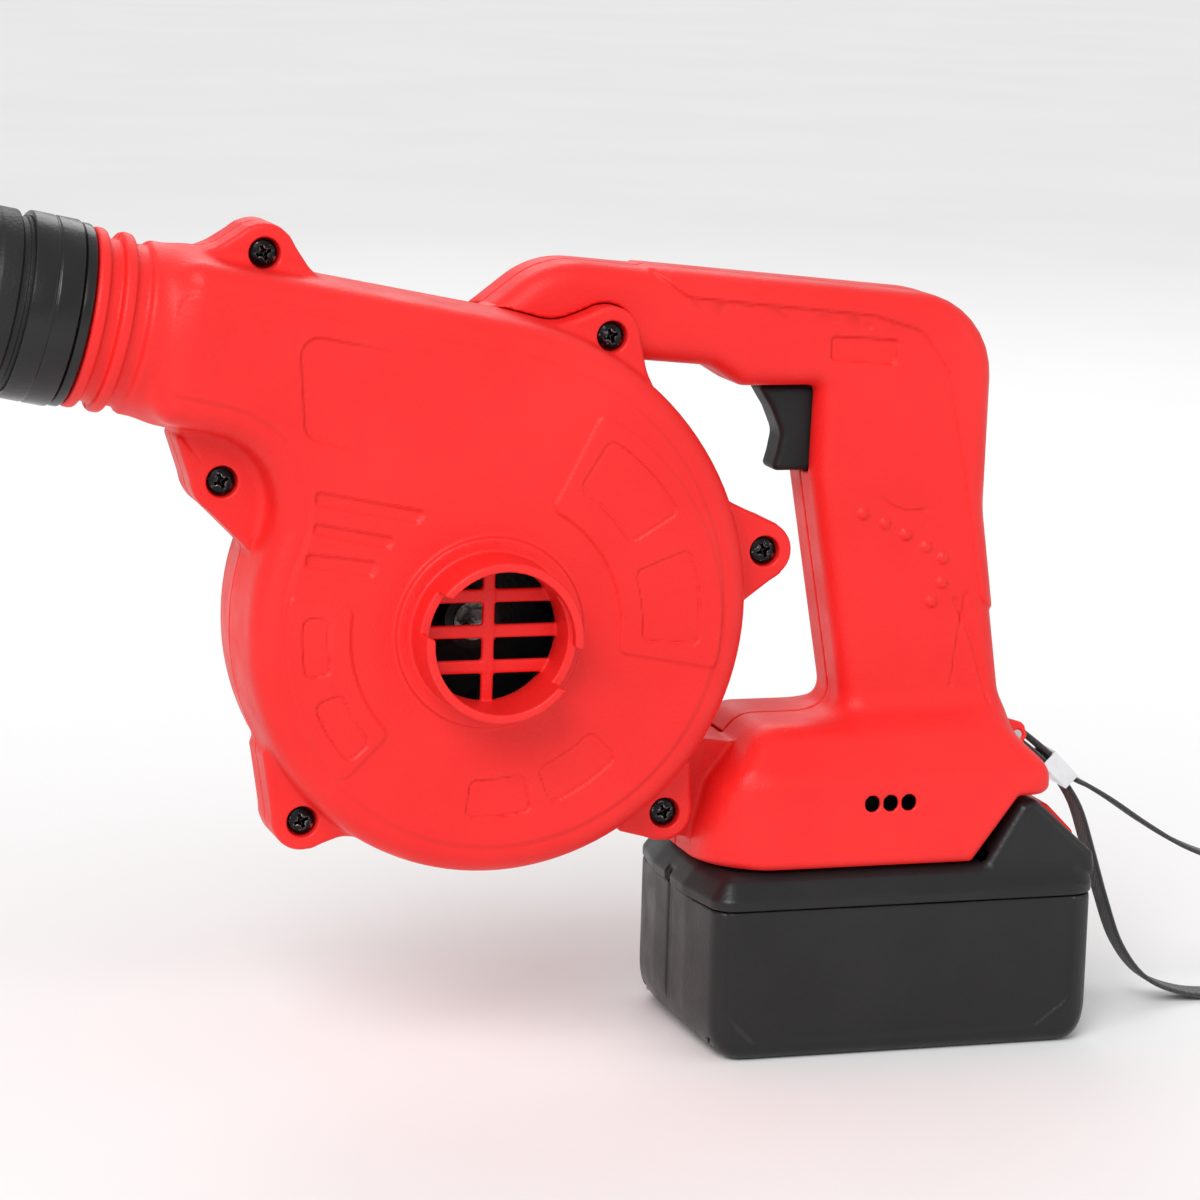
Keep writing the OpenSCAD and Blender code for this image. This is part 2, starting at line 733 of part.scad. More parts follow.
module trigger() {
  color(BLACK)
    difference() {
      slab(-6, 6)
        polygon(rounded([[-34, 167, 1.5], [trigger_back, 167, 1], [trigger_back, 192, 1],
          [-39, 192, 1], [-34.5, 185, 6], [-31.5, 178, 6], [-32.6, 172, 6]]));
      box(-27, trigger_back + 1, -4.4, 4.4, 169.5, trigger_z - 3.4);
      box(-27, trigger_back + 1, -4.4, 4.4, trigger_z + 3.4, 189.5);
      translate([trigger_back - 5, 0, trigger_z])
        rotate([0, 90, 0])
          cylinder(r = 2, h = 6);
    }
}
module trigger_plunger() {
  color(STEEL)
    translate([trigger_back - 5, 0, trigger_z])
      rotate([0, 90, 0])
        cylinder(r = 2, h = switch_front + 6 - trigger_back + 5);
}
module trigger_spring() {
  color(STEEL)
    coil([trigger_back + 0.1, 0, trigger_z], [0, 90, 0], switch_front - trigger_back - 0.2, 3, 0.35, 4);
}
module switch_body() {
  color(BLACK)
    difference() {
      box(switch_front, 20, -8, 8, 167, 190);
      translate([switch_front - 1, 0, trigger_z])
        rotate([0, 90, 0])
          cylinder(r = 2.05, h = 6 + trigger_travel + 3);
    }
}
module switch_tabs() {
  color(STEEL)
    for (y = [-5, 5])
      box(6, 12, y - 0.4, y + 0.4, 159, 167);
}
module terminal_block() {
  color(BLACK)
    difference() {
      box(-24, 8, -19, 19, 66.6, 74);
      for (y = [-blade_y, blade_y])
        box(-19, 3, y - 0.4, y + 0.4, 64, 71);
    }
}
module contact_blades() {
  color(STEEL)
    for (y = [-blade_y, blade_y])
      box(-19, 3, y - 0.4, y + 0.4, 58, 71);
}

// ---------- battery pack ----------

module battery_case() {
  color(BLACK)
    difference() {
      intersection() {
        union() {
          for (s = [[0, 1.2, 5.5], [1.2, 3.4, 3], [3.4, 7, 1.3], [7, pack_seam, 0]])
            translate([0, 0, s[0]])
              linear_extrude(s[1] - s[0] + (s[1] < pack_seam ? e : 0))
                polygon(rounded(pack_plan, s[2]));
        }
        slab(-pack_half - 1, pack_half + 1)
          polygon(rounded(case_view));
      }
      difference() {
        intersection() {
          union() {
            translate([0, 0, 2.4])
              linear_extrude(6)
                polygon(rounded(pack_plan, 5.4));
            translate([0, 0, 7])
              linear_extrude(60)
                polygon(rounded(pack_plan, 2.4));
          }
          slab(-pack_half, pack_half)
            polygon(rounded(case_view, 2.2));
        }
        for (x = post_x)
          for (y = [-30, 30])
            translate([x, y, 0])
              cylinder(r = 3.2, h = pack_seam);
      }
      box(pack_front - 1, pack_front + 1.6, -2, 2, 6, 60);
      for (x = post_x)
        for (y = [-30, 30])
          translate([x, y, -1]) {
            cylinder(r = 1.7, h = 60);
            cylinder(r = 3, h = 7);
          }
    }
}
module battery_lid() {
  color(BLACK)
    difference() {
      union() {
        for (s = [[pack_seam + e, 48, 0], [48, 51, 1.2], [51, 53.2, 2.6], [53.2, lid_top, 4.2]])
          translate([0, 0, s[0]])
            linear_extrude(s[1] - s[0] + (s[1] < lid_top ? e : 0))
              polygon(rounded(pack_plan, s[2]));
        slab(-33.5, 33.5)
          polygon(rounded(wedge_view));
        box(-40, 27, -19.5, 19.5, lid_top - 1, 59.2);
        box(-40, 30, -23.4, 23.4, 59, 64);
      }
      difference() {
        translate([0, 0, pack_seam - 1])
          linear_extrude(52.2 - pack_seam + 1)
            polygon(rounded(pack_plan, 2.6 + 3));
        for (x = post_x)
          for (y = [-30, 30])
            translate([x, y, 0])
              cylinder(r = 3.2, h = 60);
        box(44, pack_rear - 4, -6, 6, pack_seam, 47);
      }
      intersection() {
        slab(-31, 31)
          polygon(rounded(wedge_view, wall));
        box(20, 80, -40, 40, 51.7, 84);
      }
      box(26, 54, -30.5, 30.5, 51, 57);
      box(-37, 24, -16.5, 16.5, 51, 56.6);
      for (y = [-blade_y, blade_y])
        box(-41, 6, y - 1.9, y + 1.9, 56, 65);
      box(51, 68, -9.4, 9.4, 47.05, 70);
      box(45, 52, -6.2, 6.2, 60.2 - button_travel, 64.2);
      box(38.6, 43.4, -6.4, 6.4, 64, 76);
      for (x = post_x)
        for (y = [-30, 30])
          translate([x, y, pack_seam - 1])
            cylinder(r = 1.55, h = 7);
      box(pack_front - 1, pack_front + 1.6, -2, 2, 44, 50);
    }
}
module battery_cells() {
  color([0.1, 0.45, 0.6])
    for (i = [-2:2])
      for (z = cell_rows)
        rod_y(i * cell_pitch - 1, z, cell_d / 2, -cell_len / 2, cell_len / 2);
}
module cell_holders() {
  color(BLACK)
    for (s = [-1, 1])
      difference() {
        box(-49, 48.5, s * 27 - 2, s * 27 + 2, 8.5, 42);
        for (i = [-2:2])
          for (z = cell_rows)
            rod_y(i * cell_pitch - 1, z, cell_d / 2 + 0.05, s * 27 - 3, s * 27 + 3);
      }
}
module cell_straps() {
  color(STEEL) {
    for (i = [-2:2])
      box(i * cell_pitch - 5, i * cell_pitch + 3, -cell_len / 2 - 0.4, -cell_len / 2, 9, 38);
    for (i = [-1, 1])
      box(i * cell_pitch - 1 - 14, i * cell_pitch - 1 + 14, cell_len / 2, cell_len / 2 + 0.4, 10, 37);
  }
}
module battery_board() {
  color([0.05, 0.3, 0.15])
    box(-36, 22, -15.5, 15.5, 52, 53.6);
}
module battery_clips() {
  color(STEEL)
    for (y = [-blade_y, blade_y])
      for (s = [-1, 1])
        box(-14, 0, y + s * 1.1 - 0.3, y + s * 1.1 + 0.3, 53.65, 62);
}
module battery_screws() {
  color(STEEL)
    for (x = post_x)
      for (y = [-30, 30])
        translate([x, y, 3.4]) {
          cylinder(r = 2.8, h = 2.6);
          cylinder(r = 1.5, h = pack_seam + 2);
        }
}
// The button's thumb pad stands out of the pack's back slope; its arm carries the catch
module release_button() {
  color(RED)
    slab(-9, 9)
      polygon(rounded([[51.6, 50.8, 0.5], [65, 50.8, 1.5], [65, 56.5, 2.5], [56, 65.5, 2.5],
        [51.6, 65.5, 1]]));
  color(RED)
    box(39.2, 52, -5.8, 5.8, 60.6, 63.4);
  color(RED)
    box(39.2, 42.8, -5.8, 5.8, 61, 73.6);
}
module button_spring() {
  color(STEEL)
    coil([55, 0, 47.1], [0, 0, 0], 3.6, 3, 0.25, 3);
}

// ---------- wrist strap ----------

module strap_pin() {
  color(STEEL)
    rod_y(pin_x, pin_z, 1.5, -9, 9);
}
module strap_webbing() {
  path = smooth(strap_route, 2);
  color(BLACK)
    sweep(path, [for (p = path) [0, 1, 0]], strap_w / 2, strap_t / 2, 8);
}
// Metal sleeve pressed round both strands
module strap_crimp() {
  color(STEEL)
    translate([60.9, 0, 74.95])
      rotate([0, 45, 0])
        difference() {
          cube([11, strap_w + 2.6, 5.4], center = true);
          cube([12, strap_w + 0.6, 4.2], center = true);
        }
}

fan_cover();
body_shell_near();
body_shell_far();
cover_screws();
shell_screws();
impeller();
impeller_washer();
impeller_nut();
motor_shaft();
armature_core();
armature_windings();
commutator();
motor_can();
motor_magnets();
motor_end_cap();
motor_brushes();
motor_bearings();
motor_screws();
nozzle_ring();
nozzle_collar();
nozzle_tube();
trigger();
trigger_plunger();
trigger_spring();
switch_body();
switch_tabs();
terminal_block();
contact_blades();
battery_case();
battery_lid();
battery_cells();
cell_holders();
cell_straps();
battery_board();
battery_clips();
battery_screws();
release_button();
button_spring();
strap_pin();
strap_webbing();
strap_crimp();
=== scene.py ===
import math

import bpy
import numpy as np
from mathutils import Matrix, Vector


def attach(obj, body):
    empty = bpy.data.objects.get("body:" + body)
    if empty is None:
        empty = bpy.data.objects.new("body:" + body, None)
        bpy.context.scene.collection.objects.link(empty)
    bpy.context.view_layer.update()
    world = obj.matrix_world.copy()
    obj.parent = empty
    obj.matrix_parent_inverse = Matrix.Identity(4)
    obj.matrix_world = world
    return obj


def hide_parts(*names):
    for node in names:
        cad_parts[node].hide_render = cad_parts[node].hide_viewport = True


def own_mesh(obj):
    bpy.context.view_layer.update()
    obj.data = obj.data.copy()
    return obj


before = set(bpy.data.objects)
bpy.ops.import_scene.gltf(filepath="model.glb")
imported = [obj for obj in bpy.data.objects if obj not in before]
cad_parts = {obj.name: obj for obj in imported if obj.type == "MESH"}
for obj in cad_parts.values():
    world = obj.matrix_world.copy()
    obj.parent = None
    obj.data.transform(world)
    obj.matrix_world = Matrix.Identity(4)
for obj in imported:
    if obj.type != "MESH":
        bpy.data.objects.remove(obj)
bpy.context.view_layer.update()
MM = 0.001

# ---------- driving sizes, as in the CAD model ----------

FAN_X, FAN_Z = -126.5, 128.5
FACE_Y, BACK_Y = -36.0, 13.0
SEAM_Y = (FACE_Y + BACK_Y) / 2
WALL, PACK_WALL = 2.2, 2.4
SEAM_GAP = 0.12  # half of the gap where two shells meet
GRIP_GAP = 0.3  # between the grip and the round housing that it is cut to
DUCT_TILT = math.radians(11.4)
DUCT_RISE, DUCT_LEN = 62.0, 111.0
NECK_R, SPIGOT_R, RIB_R = 24.0, 22.4, 24.8
SCROLL_R, SCROLL_GROW, SCROLL_SWELL = 68.0, 1.5, 1.75
THROAT_R = 20.0
COLLAR_R, COLLAR_OUT, INTAKE_R, STEP_R, GAP_DEEP = 22.4, 18.0, 19.8, 26.8, 7.4
GRIP_HALF = 15.0
BASE_HALF, BASE_FLOOR, BASE_TOP = 36.0, 55.3, 95.0
TRIGGER_TOP, TRIGGER_Z, TRIGGER_BACK = 192.5, 179.0, -14.0
PACK_FRONT, PACK_REAR, PACK_HALF = -60.0, 62.5, 37.5
PACK_SEAM, LID_TOP = 44.5, 54.5
MOTOR_R, MOTOR_FRONT = 17.9, 2.0
CUP_R, CUP_BACK = 32.0, 56.0
BLADE_Y = 12.0

COS_TILT, SIN_TILT = math.cos(DUCT_TILT), math.sin(DUCT_TILT)
NECK_X = FAN_X - DUCT_LEN * COS_TILT + DUCT_RISE * SIN_TILT
NECK_Z = FAN_Z + DUCT_LEN * SIN_TILT + DUCT_RISE * COS_TILT

# Screw centre and the two points where each lug leaves the housing's outline
LUGS = [
    ((-188, 232), (-174, 226), (-204, 232)),
    ((-199, 169.5), (-213, 185), (-191, 150)),
    ((-88.5, 208.5), (-77, 195), (-106, 211)),
    ((-41, 146.5), (-48, 131), (-52, 161)),
    ((-68.5, 71), (-82, 66), (-61, 86)),
    ((-175, 73), (-186.5, 93), (-161, 69)),
]
LUG_R, LUG_HALF = 8.3, 10.0
SCREW_FACE = SEAM_Y - LUG_HALF + 3.6  # where the cover screws' heads sit, inside their counterbores
THROAT_WEB = [(-211, 184, 0.5), (-192, 152, 0.5), (-182, 158, 0.5), (-191, 186, 0.5)]
SHELL_POSTS = [(-62, 212), (12, 202), (21, 124), (-34, 90.5)]

# Side view of the handle and grip: x, z, corner radius
GRIP_VIEW = [
    (-130, 194, 2), (-80, 200.5, 30), (-56, 198.5, 10), (-46, TRIGGER_TOP, 5), (-23, TRIGGER_TOP, 2),
    (-23.5, 166, 6), (-10, 90, 4), (-9, 80, 1), (38.5, 80, 1), (38.5, 96, 16), (29.5, 156, 40),
    (30, 216.5, 24), (-104, 229, 26), (-130, 209, 4),
]
BASE_VIEW = [
    (-59, BASE_FLOOR, 1), (22, BASE_FLOOR, 1), (36.5, 74, 1), (49, 74, 1), (49, 80, 3),
    (34, BASE_TOP, 8), (-40, BASE_TOP, 10), (-53, 78, 10),
]
BASE_PLAN = [(-59, -BASE_HALF, 25), (49, -BASE_HALF, 13), (49, BASE_HALF, 13), (-59, BASE_HALF, 25)]
BASE_CUT = [
    (-BASE_HALF - 0.5, BASE_FLOOR - 9, 1), (BASE_HALF + 0.5, BASE_FLOOR - 9, 1), (BASE_HALF - 1.5, 80, 4),
    (19.5, BASE_TOP + 3, 6), (-19.5, BASE_TOP + 3, 6), (1.5 - BASE_HALF, 80, 4),
]
BRIDGE_VIEW = [(-86, 80, 1), (-72, 64, 2), (-54, 60, 1), (-40, 64, 1), (-40, 88, 1), (-60, 91, 2)]
EAR_VIEW = [
    (34, 92.5, 1), (34, 84, 1), (40, 82, 2), (46, 83, 2), (48.5, 86.5, 2), (47, 90.5, 2), (40, 92.5, 1),
]
STRAP_PIN = (45, 87)
TRIGGER_VIEW = [
    (-34, 167, 1.5), (TRIGGER_BACK, 167, 1), (TRIGGER_BACK, 192, 1), (-39, 192, 1), (-34.5, 185, 6),
    (-31.5, 178, 6), (-32.6, 172, 6),
]
PACK_PLAN = [
    (PACK_FRONT + 3.5, -PACK_HALF, 7), (PACK_REAR - 1, -PACK_HALF, 9), (PACK_REAR, 0, 60),
    (PACK_REAR - 1, PACK_HALF, 9), (PACK_FRONT + 3.5, PACK_HALF, 7), (PACK_FRONT, 14, 20),
    (PACK_FRONT, -14, 20),
]
CASE_VIEW = [
    (PACK_FRONT - 0.3, 0, 14), (PACK_REAR + 0.3, 0, 12), (PACK_REAR + 0.3, 90, 1), (PACK_FRONT - 0.3, 90, 1),
]
WEDGE_VIEW = [
    (24, LID_TOP - 5, 0.3), (PACK_REAR - 0.4, LID_TOP - 5, 0.3), (PACK_REAR - 1.2, 56, 2),
    (42, 73, 3), (37.2, 71.6, 1.5),
]
BUTTON_VIEW = [(51.6, 50.8, 0.5), (65, 50.8, 1.5), (65, 56.5, 2.5), (56, 65.5, 2.5), (51.6, 65.5, 1)]

# Route of the wrist strap: from the pin, through the crimp, down, round its loop on the floor and back
STRAP_ROUTE = [
    (46.5, 85.5), (50.5, 82.5), (55.5, 78.5), (60, 74), (64.5, 69.5), (69.5, 61.5), (74, 49), (79, 34),
    (85, 19), (94, 8), (107, 2.5), (122, 1), (138, 1), (153, 3.5), (164, 11), (168, 22), (163, 33),
    (151, 39.5), (136, 41), (120, 43), (105, 48.5), (92, 56), (80, 64), (71.5, 69), (66.2, 71.6),
    (61.8, 75.9), (57.3, 80.3), (52.2, 84.4), (48.5, 87.2),
]
STRAP_W, STRAP_T = 10.0, 1.4
RIB_PITCH = 2.4  # of the weave, along the strap
STRAP_HELD = 5  # points of the route at each end that lie between the pin and the crimp's mouth

# ---------- camera ----------

CAMERA_PLACE = (-0.4363, -1.1201, 0.3493)
CAMERA_TURN, CAMERA_TILT, CAMERA_ROLL = 17.5, 10.6, 1.7  # degrees
CAMERA_LENS = 124.5


def add_camera():
    azimuth, elevation, roll = (math.radians(v) for v in (CAMERA_TURN, CAMERA_TILT, CAMERA_ROLL))
    forward = Vector((math.sin(azimuth) * math.cos(elevation), math.cos(azimuth) * math.cos(elevation),
                      -math.sin(elevation)))
    level = Vector((math.cos(azimuth), -math.sin(azimuth), 0))
    up = level.cross(forward)
    right = level * math.cos(roll) + up * math.sin(roll)
    top = up * math.cos(roll) - level * math.sin(roll)
    data = bpy.data.cameras.new("camera")
    data.sensor_width = 36
    data.lens = CAMERA_LENS
    data.clip_start, data.clip_end = 0.05, 20
    camera = bpy.data.objects.new("camera", data)
    axes = Matrix((right, top, -forward)).transposed().to_4x4()
    camera.matrix_world = Matrix.Translation(Vector(CAMERA_PLACE)) @ axes
    bpy.context.collection.objects.link(camera)
    bpy.context.scene.camera = camera


add_camera()

# ---------- mesh helpers ----------


def settle(piece, node, body):
    """piece stands for a CAD node, which it hides, and rides on that node's body."""
    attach(piece, body)
    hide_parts(node)
    return piece


def add_mesh(name, points, faces, material):
    """A smooth object from points in millimetres."""
    mesh = bpy.data.meshes.new(name)
    mesh.from_pydata((np.asarray(points, float) * MM).tolist(), [], faces)
    mesh.validate()
    mesh.polygons.foreach_set("use_smooth", [True] * len(mesh.polygons))
    mesh.materials.append(material)
    piece = bpy.data.objects.new(name, mesh)
    bpy.context.collection.objects.link(piece)
    return piece


def loft(name, rings, material, closed=False):
    """Mesh through rings of points, with capped ends, or closed, with the last ring joined to the first."""
    n, k = len(rings), len(rings[0])
    faces = [(i * k + j, i * k + (j + 1) % k, (i + 1) % n * k + (j + 1) % k, (i + 1) % n * k + j)
             for i in range(n if closed else n - 1) for j in range(k)]
    if not closed:
        faces += [tuple(reversed(range(k))), tuple(range((n - 1) * k, n * k))]
    return add_mesh(name, [point for ring in rings for point in ring], faces, material)


def round_corners(corners, steps=6):
    """Points of an outline from corners (x, y, radius)."""
    out = []
    n = len(corners)
    for i, (x, y, radius) in enumerate(corners):
        b = np.array((x, y), float)
        a = np.array(corners[i - 1][:2], float) - b
        c = np.array(corners[(i + 1) % n][:2], float) - b
        la, lc = np.linalg.norm(a), np.linalg.norm(c)
        u, w = a / la, c / lc
        half = math.acos(max(-1, min(1, float(u @ w)))) / 2
        reach = min(radius / math.tan(half), la * 0.49, lc * 0.49)
        r = reach * math.tan(half)
        middle = b + (u + w) / np.linalg.norm(u + w) * r / math.sin(half)
        start, end = b + u * reach - middle, b + w * reach - middle
        a0 = math.atan2(start[1], start[0])
        turn = (math.atan2(end[1], end[0]) - a0 + 3 * math.pi) % (2 * math.pi) - math.pi
        for k in range(steps + 1):
            t = a0 + turn * k / steps
            out.append(middle + r * np.array((math.cos(t), math.sin(t))))
    return np.array(out)


def spiral_radius(degrees):
    t = (degrees + 180) / 90
    return SCROLL_R + SCROLL_GROW * t + SCROLL_SWELL * t * t


def housing_outline(inset, end):
    """Side view of the spiral housing and its duct, moved inward, ending short of the neck."""
    def by_duct(u, v):
        return (FAN_X - u * COS_TILT + v * SIN_TILT, FAN_Z + u * SIN_TILT + v * COS_TILT)

    def on_fan(r, degrees):
        a = math.radians(degrees)
        return (FAN_X + r * math.cos(a), FAN_Z + r * math.sin(a))

    floor = DUCT_RISE - NECK_R
    fillet_v = floor - THROAT_R
    fillet_u = math.sqrt((SCROLL_R + THROAT_R) ** 2 - fillet_v ** 2)
    fillet = math.degrees(math.atan2(fillet_v, fillet_u))
    points = [by_duct(DUCT_LEN - end, DUCT_RISE + NECK_R - inset)]
    points += [on_fan(spiral_radius(a) - inset, a) for a in range(83, -179, -3)]
    last = int(182 - math.degrees(DUCT_TILT) - fillet)
    points += [on_fan(SCROLL_R - inset, a) for a in range(180, last, -3)]
    for i in range(9):
        a = math.radians(180 + fillet - i * (90 + fillet) / 8)
        points.append(by_duct(fillet_u + (THROAT_R + inset) * math.cos(a),
                              fillet_v + (THROAT_R + inset) * math.sin(a)))
    points.append(by_duct(DUCT_LEN - end, floor + inset))
    return np.array(points)


# ---------- distance fields: negative inside, in millimetres ----------


def outline_distance(points, u, v):
    """Signed distance from a closed outline in the plane of u and v."""
    best, inside = None, False
    for (ax, ay), (bx, by) in zip(points, np.roll(points, -1, axis=0)):
        ex, ey = bx - ax, by - ay
        span = ex * ex + ey * ey
        if span < 1e-9:
            continue
        t = np.clip(((u - ax) * ex + (v - ay) * ey) / span, 0, 1)
        d = (u - ax - t * ex) ** 2 + (v - ay - t * ey) ** 2
        best = d if best is None else np.minimum(best, d)
        if ay != by:
            inside = inside ^ (((ay > v) != (by > v)) & (u < ex * (v - ay) / ey + ax))
    return np.where(inside, -1, 1) * np.sqrt(best)


def both(a, b, r=0.0):
    """Intersection, with its edge rounded to radius r."""
    if r <= 0:
        return np.maximum(a, b)
    return np.minimum(np.maximum(a, b) + r, 0) + np.hypot(np.maximum(a + r, 0), np.maximum(b + r, 0)) - r


def join(a, b, k=0.0):
    """Union, with a fillet about k wide."""
    if k <= 0:
        return np.minimum(a, b)
    h = np.maximum(k - np.abs(a - b), 0) / k
    return np.minimum(a, b) - h * h * k / 4


def cut(a, b, k=0.0):
    """a without b, with its edge eased over k."""
    return -join(-a, b, k)


def between(v, low, high):
    """A slab across one axis."""
    return np.abs(v - (low + high) / 2) - (high - low) / 2


def ramp(d, width):
    """1 inside a plane shape and 0 outside, with a smooth wall of this width."""
    t = np.clip(0.5 - d / width, 0, 1)
    return t * t * (3 - 2 * t)


def ring_sector(f, r0, r1, a0, a1):
    """Distance from a ring's sector round the fan's axis; angles in degrees."""
    r, angle = f.round_fan()
    middle, half = math.radians((a0 + a1) / 2), math.radians((a1 - a0) / 2)
    off = np.abs((angle - middle + math.pi) % (2 * math.pi) - math.pi)
    return both(between(r, r0, r1), r * (off - half), 2.5)


def line_distance(f, points):
    """Distance from an open line in the side view."""
    best = None
    for (ax, ay), (bx, by) in zip(points[:-1], points[1:]):
        ex, ey = bx - ax, by - ay
        t = np.clip(((f.x - ax) * ex + (f.z - ay) * ey) / (ex * ex + ey * ey), 0, 1)
        d = np.hypot(f.x - ax - t * ex, f.z - ay - t * ey)
        best = d if best is None else np.minimum(best, d)
    return best


class Field:
    """A box of sample points, and the plain solids measured at them."""

    def __init__(self, low, high, step):
        self.low = np.array(low, float)
        self.step = step
        counts = np.ceil((np.array(high) - self.low) / step).astype(int) + 1
        x, y, z = (self.low[i] + step * np.arange(counts[i]) for i in range(3))
        self.x = x[:, None, None].astype(np.float32)
        self.y = y[None, :, None].astype(np.float32)
        self.z = z[None, None, :].astype(np.float32)
        self.shape = tuple(counts)

    def side_view(self, corners, steps=6):
        return outline_distance(round_corners(corners, steps), self.x, self.z)

    def plan(self, corners, steps=6):
        return outline_distance(round_corners(corners, steps), self.x, self.y)

    def cross_view(self, corners, steps=6):
        return outline_distance(round_corners(corners, steps), self.y, self.z)

    def between_y(self, y0, y1):
        return between(self.y, y0, y1)

    def box(self, x0, x1, y0, y1, z0, z1, r=0.0):
        return both(both(between(self.x, x0, x1), between(self.z, z0, z1), r), self.between_y(y0, y1), r)

    def rod_y(self, x, z, radius, y0, y1, r=0.0):
        return both(np.hypot(self.x - x, self.z - z) - radius, self.between_y(y0, y1), r)

    def fan_rod(self, radius, y0, y1, r=0.0, dx=0.0):
        return self.rod_y(FAN_X + dx, FAN_Z, radius, y0, y1, r)

    def rod_z(self, x, y, radius, z0, z1):
        return both(np.hypot(self.x - x, self.y - y) - radius, between(self.z, z0, z1))

    def round_fan(self):
        """Distance from the fan's axis, and angle round it."""
        dx, dz = self.x - FAN_X, self.z - FAN_Z
        return np.hypot(dx, dz), np.arctan2(dz, dx)

    def duct(self):
        """Way along the duct's axis from the neck's shoulder, and distance from that axis."""
        along = (self.x - NECK_X) * -COS_TILT + (self.z - NECK_Z) * SIN_TILT
        across = (self.x - NECK_X) * SIN_TILT + (self.z - NECK_Z) * COS_TILT
        return along, np.hypot(across, self.y - SEAM_Y)

    def full(self, d):
        return np.ascontiguousarray(np.broadcast_to(d, self.shape).astype(np.float32))


CORNERS = [(a, b, c) for a in (0, 1) for b in (0, 1) for c in (0, 1)]


def at_corners(values, cells):
    return {corner: values[tuple((cells + corner).T)] for corner in CORNERS}


def sample(field, values, p):
    """Value and slope of a field at points p."""
    g = (p - field.low) / field.step
    i = np.clip(np.floor(g).astype(int), 0, np.array(values.shape) - 2)
    t = np.clip(g - i, 0, 1)
    c = at_corners(values, i)
    x, y, z = t.T
    y0, y1, z0, z1 = 1 - y, y, 1 - z, z
    low = [c[a, 0, 0] * y0 * z0 + c[a, 1, 0] * y1 * z0 + c[a, 0, 1] * y0 * z1 + c[a, 1, 1] * y1 * z1
           for a in (0, 1)]
    value = low[0] * (1 - x) + low[1] * x
    front = [c[0, b, k] * (1 - x) + c[1, b, k] * x for b in (0, 1) for k in (0, 1)]
    dy = (front[2] - front[0]) * z0 + (front[3] - front[1]) * z1
    dz = (front[1] - front[0]) * y0 + (front[3] - front[2]) * y1
    return value, np.stack((low[1] - low[0], dy, dz), axis=1) / field.step


def cell_points(field, values, cells):
    """One point in each cell that the zero level crosses, pulled onto the level."""
    at = at_corners(values, cells)
    total = np.zeros((len(cells), 3))
    hits = np.zeros(len(cells))
    for k in CORNERS:
        for axis in range(3):
            if k[axis]:
                continue
            other = tuple(1 if j == axis else k[j] for j in range(3))
            f0, f1 = at[k], at[other]
            crossed = (f0 < 0) != (f1 < 0)
            total += crossed[:, None] * np.array(k, float)
            total[:, axis] += np.where(crossed, f0 / np.where(crossed, f0 - f1, 1), 0)
            hits += crossed
    start = points = field.low + (cells + total / hits[:, None]) * field.step
    for _ in range(3):
        value, slope = sample(field, values, points)
        size = np.maximum((slope ** 2).sum(axis=1), 0.2)
        points = points - slope * (value / size)[:, None]
        points = start + np.clip(points - start, -0.6 * field.step, 0.6 * field.step)
    return points


def cell_quads(inside, number):
    """A face for each edge between samples that the zero level crosses, through the four cells round it."""
    quads = []
    for axis in range(3):
        j, k = (axis + 1) % 3, (axis + 2) % 3
        inner = [slice(1, -1)] * 3
        inner[axis] = slice(0, -1)
        ahead = list(inner)
        ahead[axis] = slice(1, None)
        first = inside[tuple(inner)]
        edges = np.argwhere(first != inside[tuple(ahead)])
        outward = first[tuple(edges.T)]
        edges[:, [j, k]] += 1
        ring = []
        for dj, dk in ((0, 0), (1, 0), (1, 1), (0, 1)):
            cell = edges.copy()
            cell[:, j] -= dj
            cell[:, k] -= dk
            ring.append(number[tuple(cell.T)])
        ring = np.stack(ring, axis=1)
        ring[~outward] = ring[~outward][:, ::-1]
        quads.append(ring)
    return np.concatenate(quads).tolist()


def skin(name, field, distance, material, keep):
    """Mesh of a field's zero level; keep is the share of its faces left once flat stretches are thinned."""
    values = field.full(distance)
    inside = values < 0
    nx, ny, nz = (n - 1 for n in values.shape)
    count = sum(inside[a:a + nx, b:b + ny, c:c + nz].astype(np.int8) for a, b, c in CORNERS)
    cells = np.argwhere((count > 0) & (count < 8))
    number = np.full(count.shape, -1, np.int32)
    number[tuple(cells.T)] = np.arange(len(cells))
    piece = add_mesh(name, cell_points(field, values, cells), cell_quads(inside, number), material)
    thin(piece, keep)
    lay_normals(piece, field, values)
    return piece


def thin(piece, keep):
    """Fewer faces where the surface is flat."""
    modifier = piece.modifiers.new("thin", "DECIMATE")
    modifier.ratio = keep
    graph = bpy.context.evaluated_depsgraph_get()
    mesh = bpy.data.meshes.new_from_object(piece.evaluated_get(graph))
    piece.modifiers.clear()
    old = piece.data
    piece.data = mesh
    bpy.data.meshes.remove(old)


def lay_normals(piece, field, values):
    """Normals from the field's slope, so that flat and curved stretches shade evenly."""
    mesh = piece.data
    co = np.empty(len(mesh.vertices) * 3, np.float32)
    mesh.vertices.foreach_get("co", co)
    points = co.reshape(-1, 3).astype(float) / MM
    offsets = np.vstack((np.zeros(3), np.eye(3), -np.eye(3))) * 0.35 * field.step
    slope = sum(sample(field, values, points + offset)[1] for offset in offsets)
    size = np.linalg.norm(slope, axis=1, keepdims=True)
    normals = slope / np.maximum(size, 1e-6)
    mesh.polygons.foreach_set("use_smooth", [True] * len(mesh.polygons))
    mesh.normals_split_custom_set_from_vertices(normals.astype(np.float32).tolist())
    mesh.update()


# ---------- materials ----------


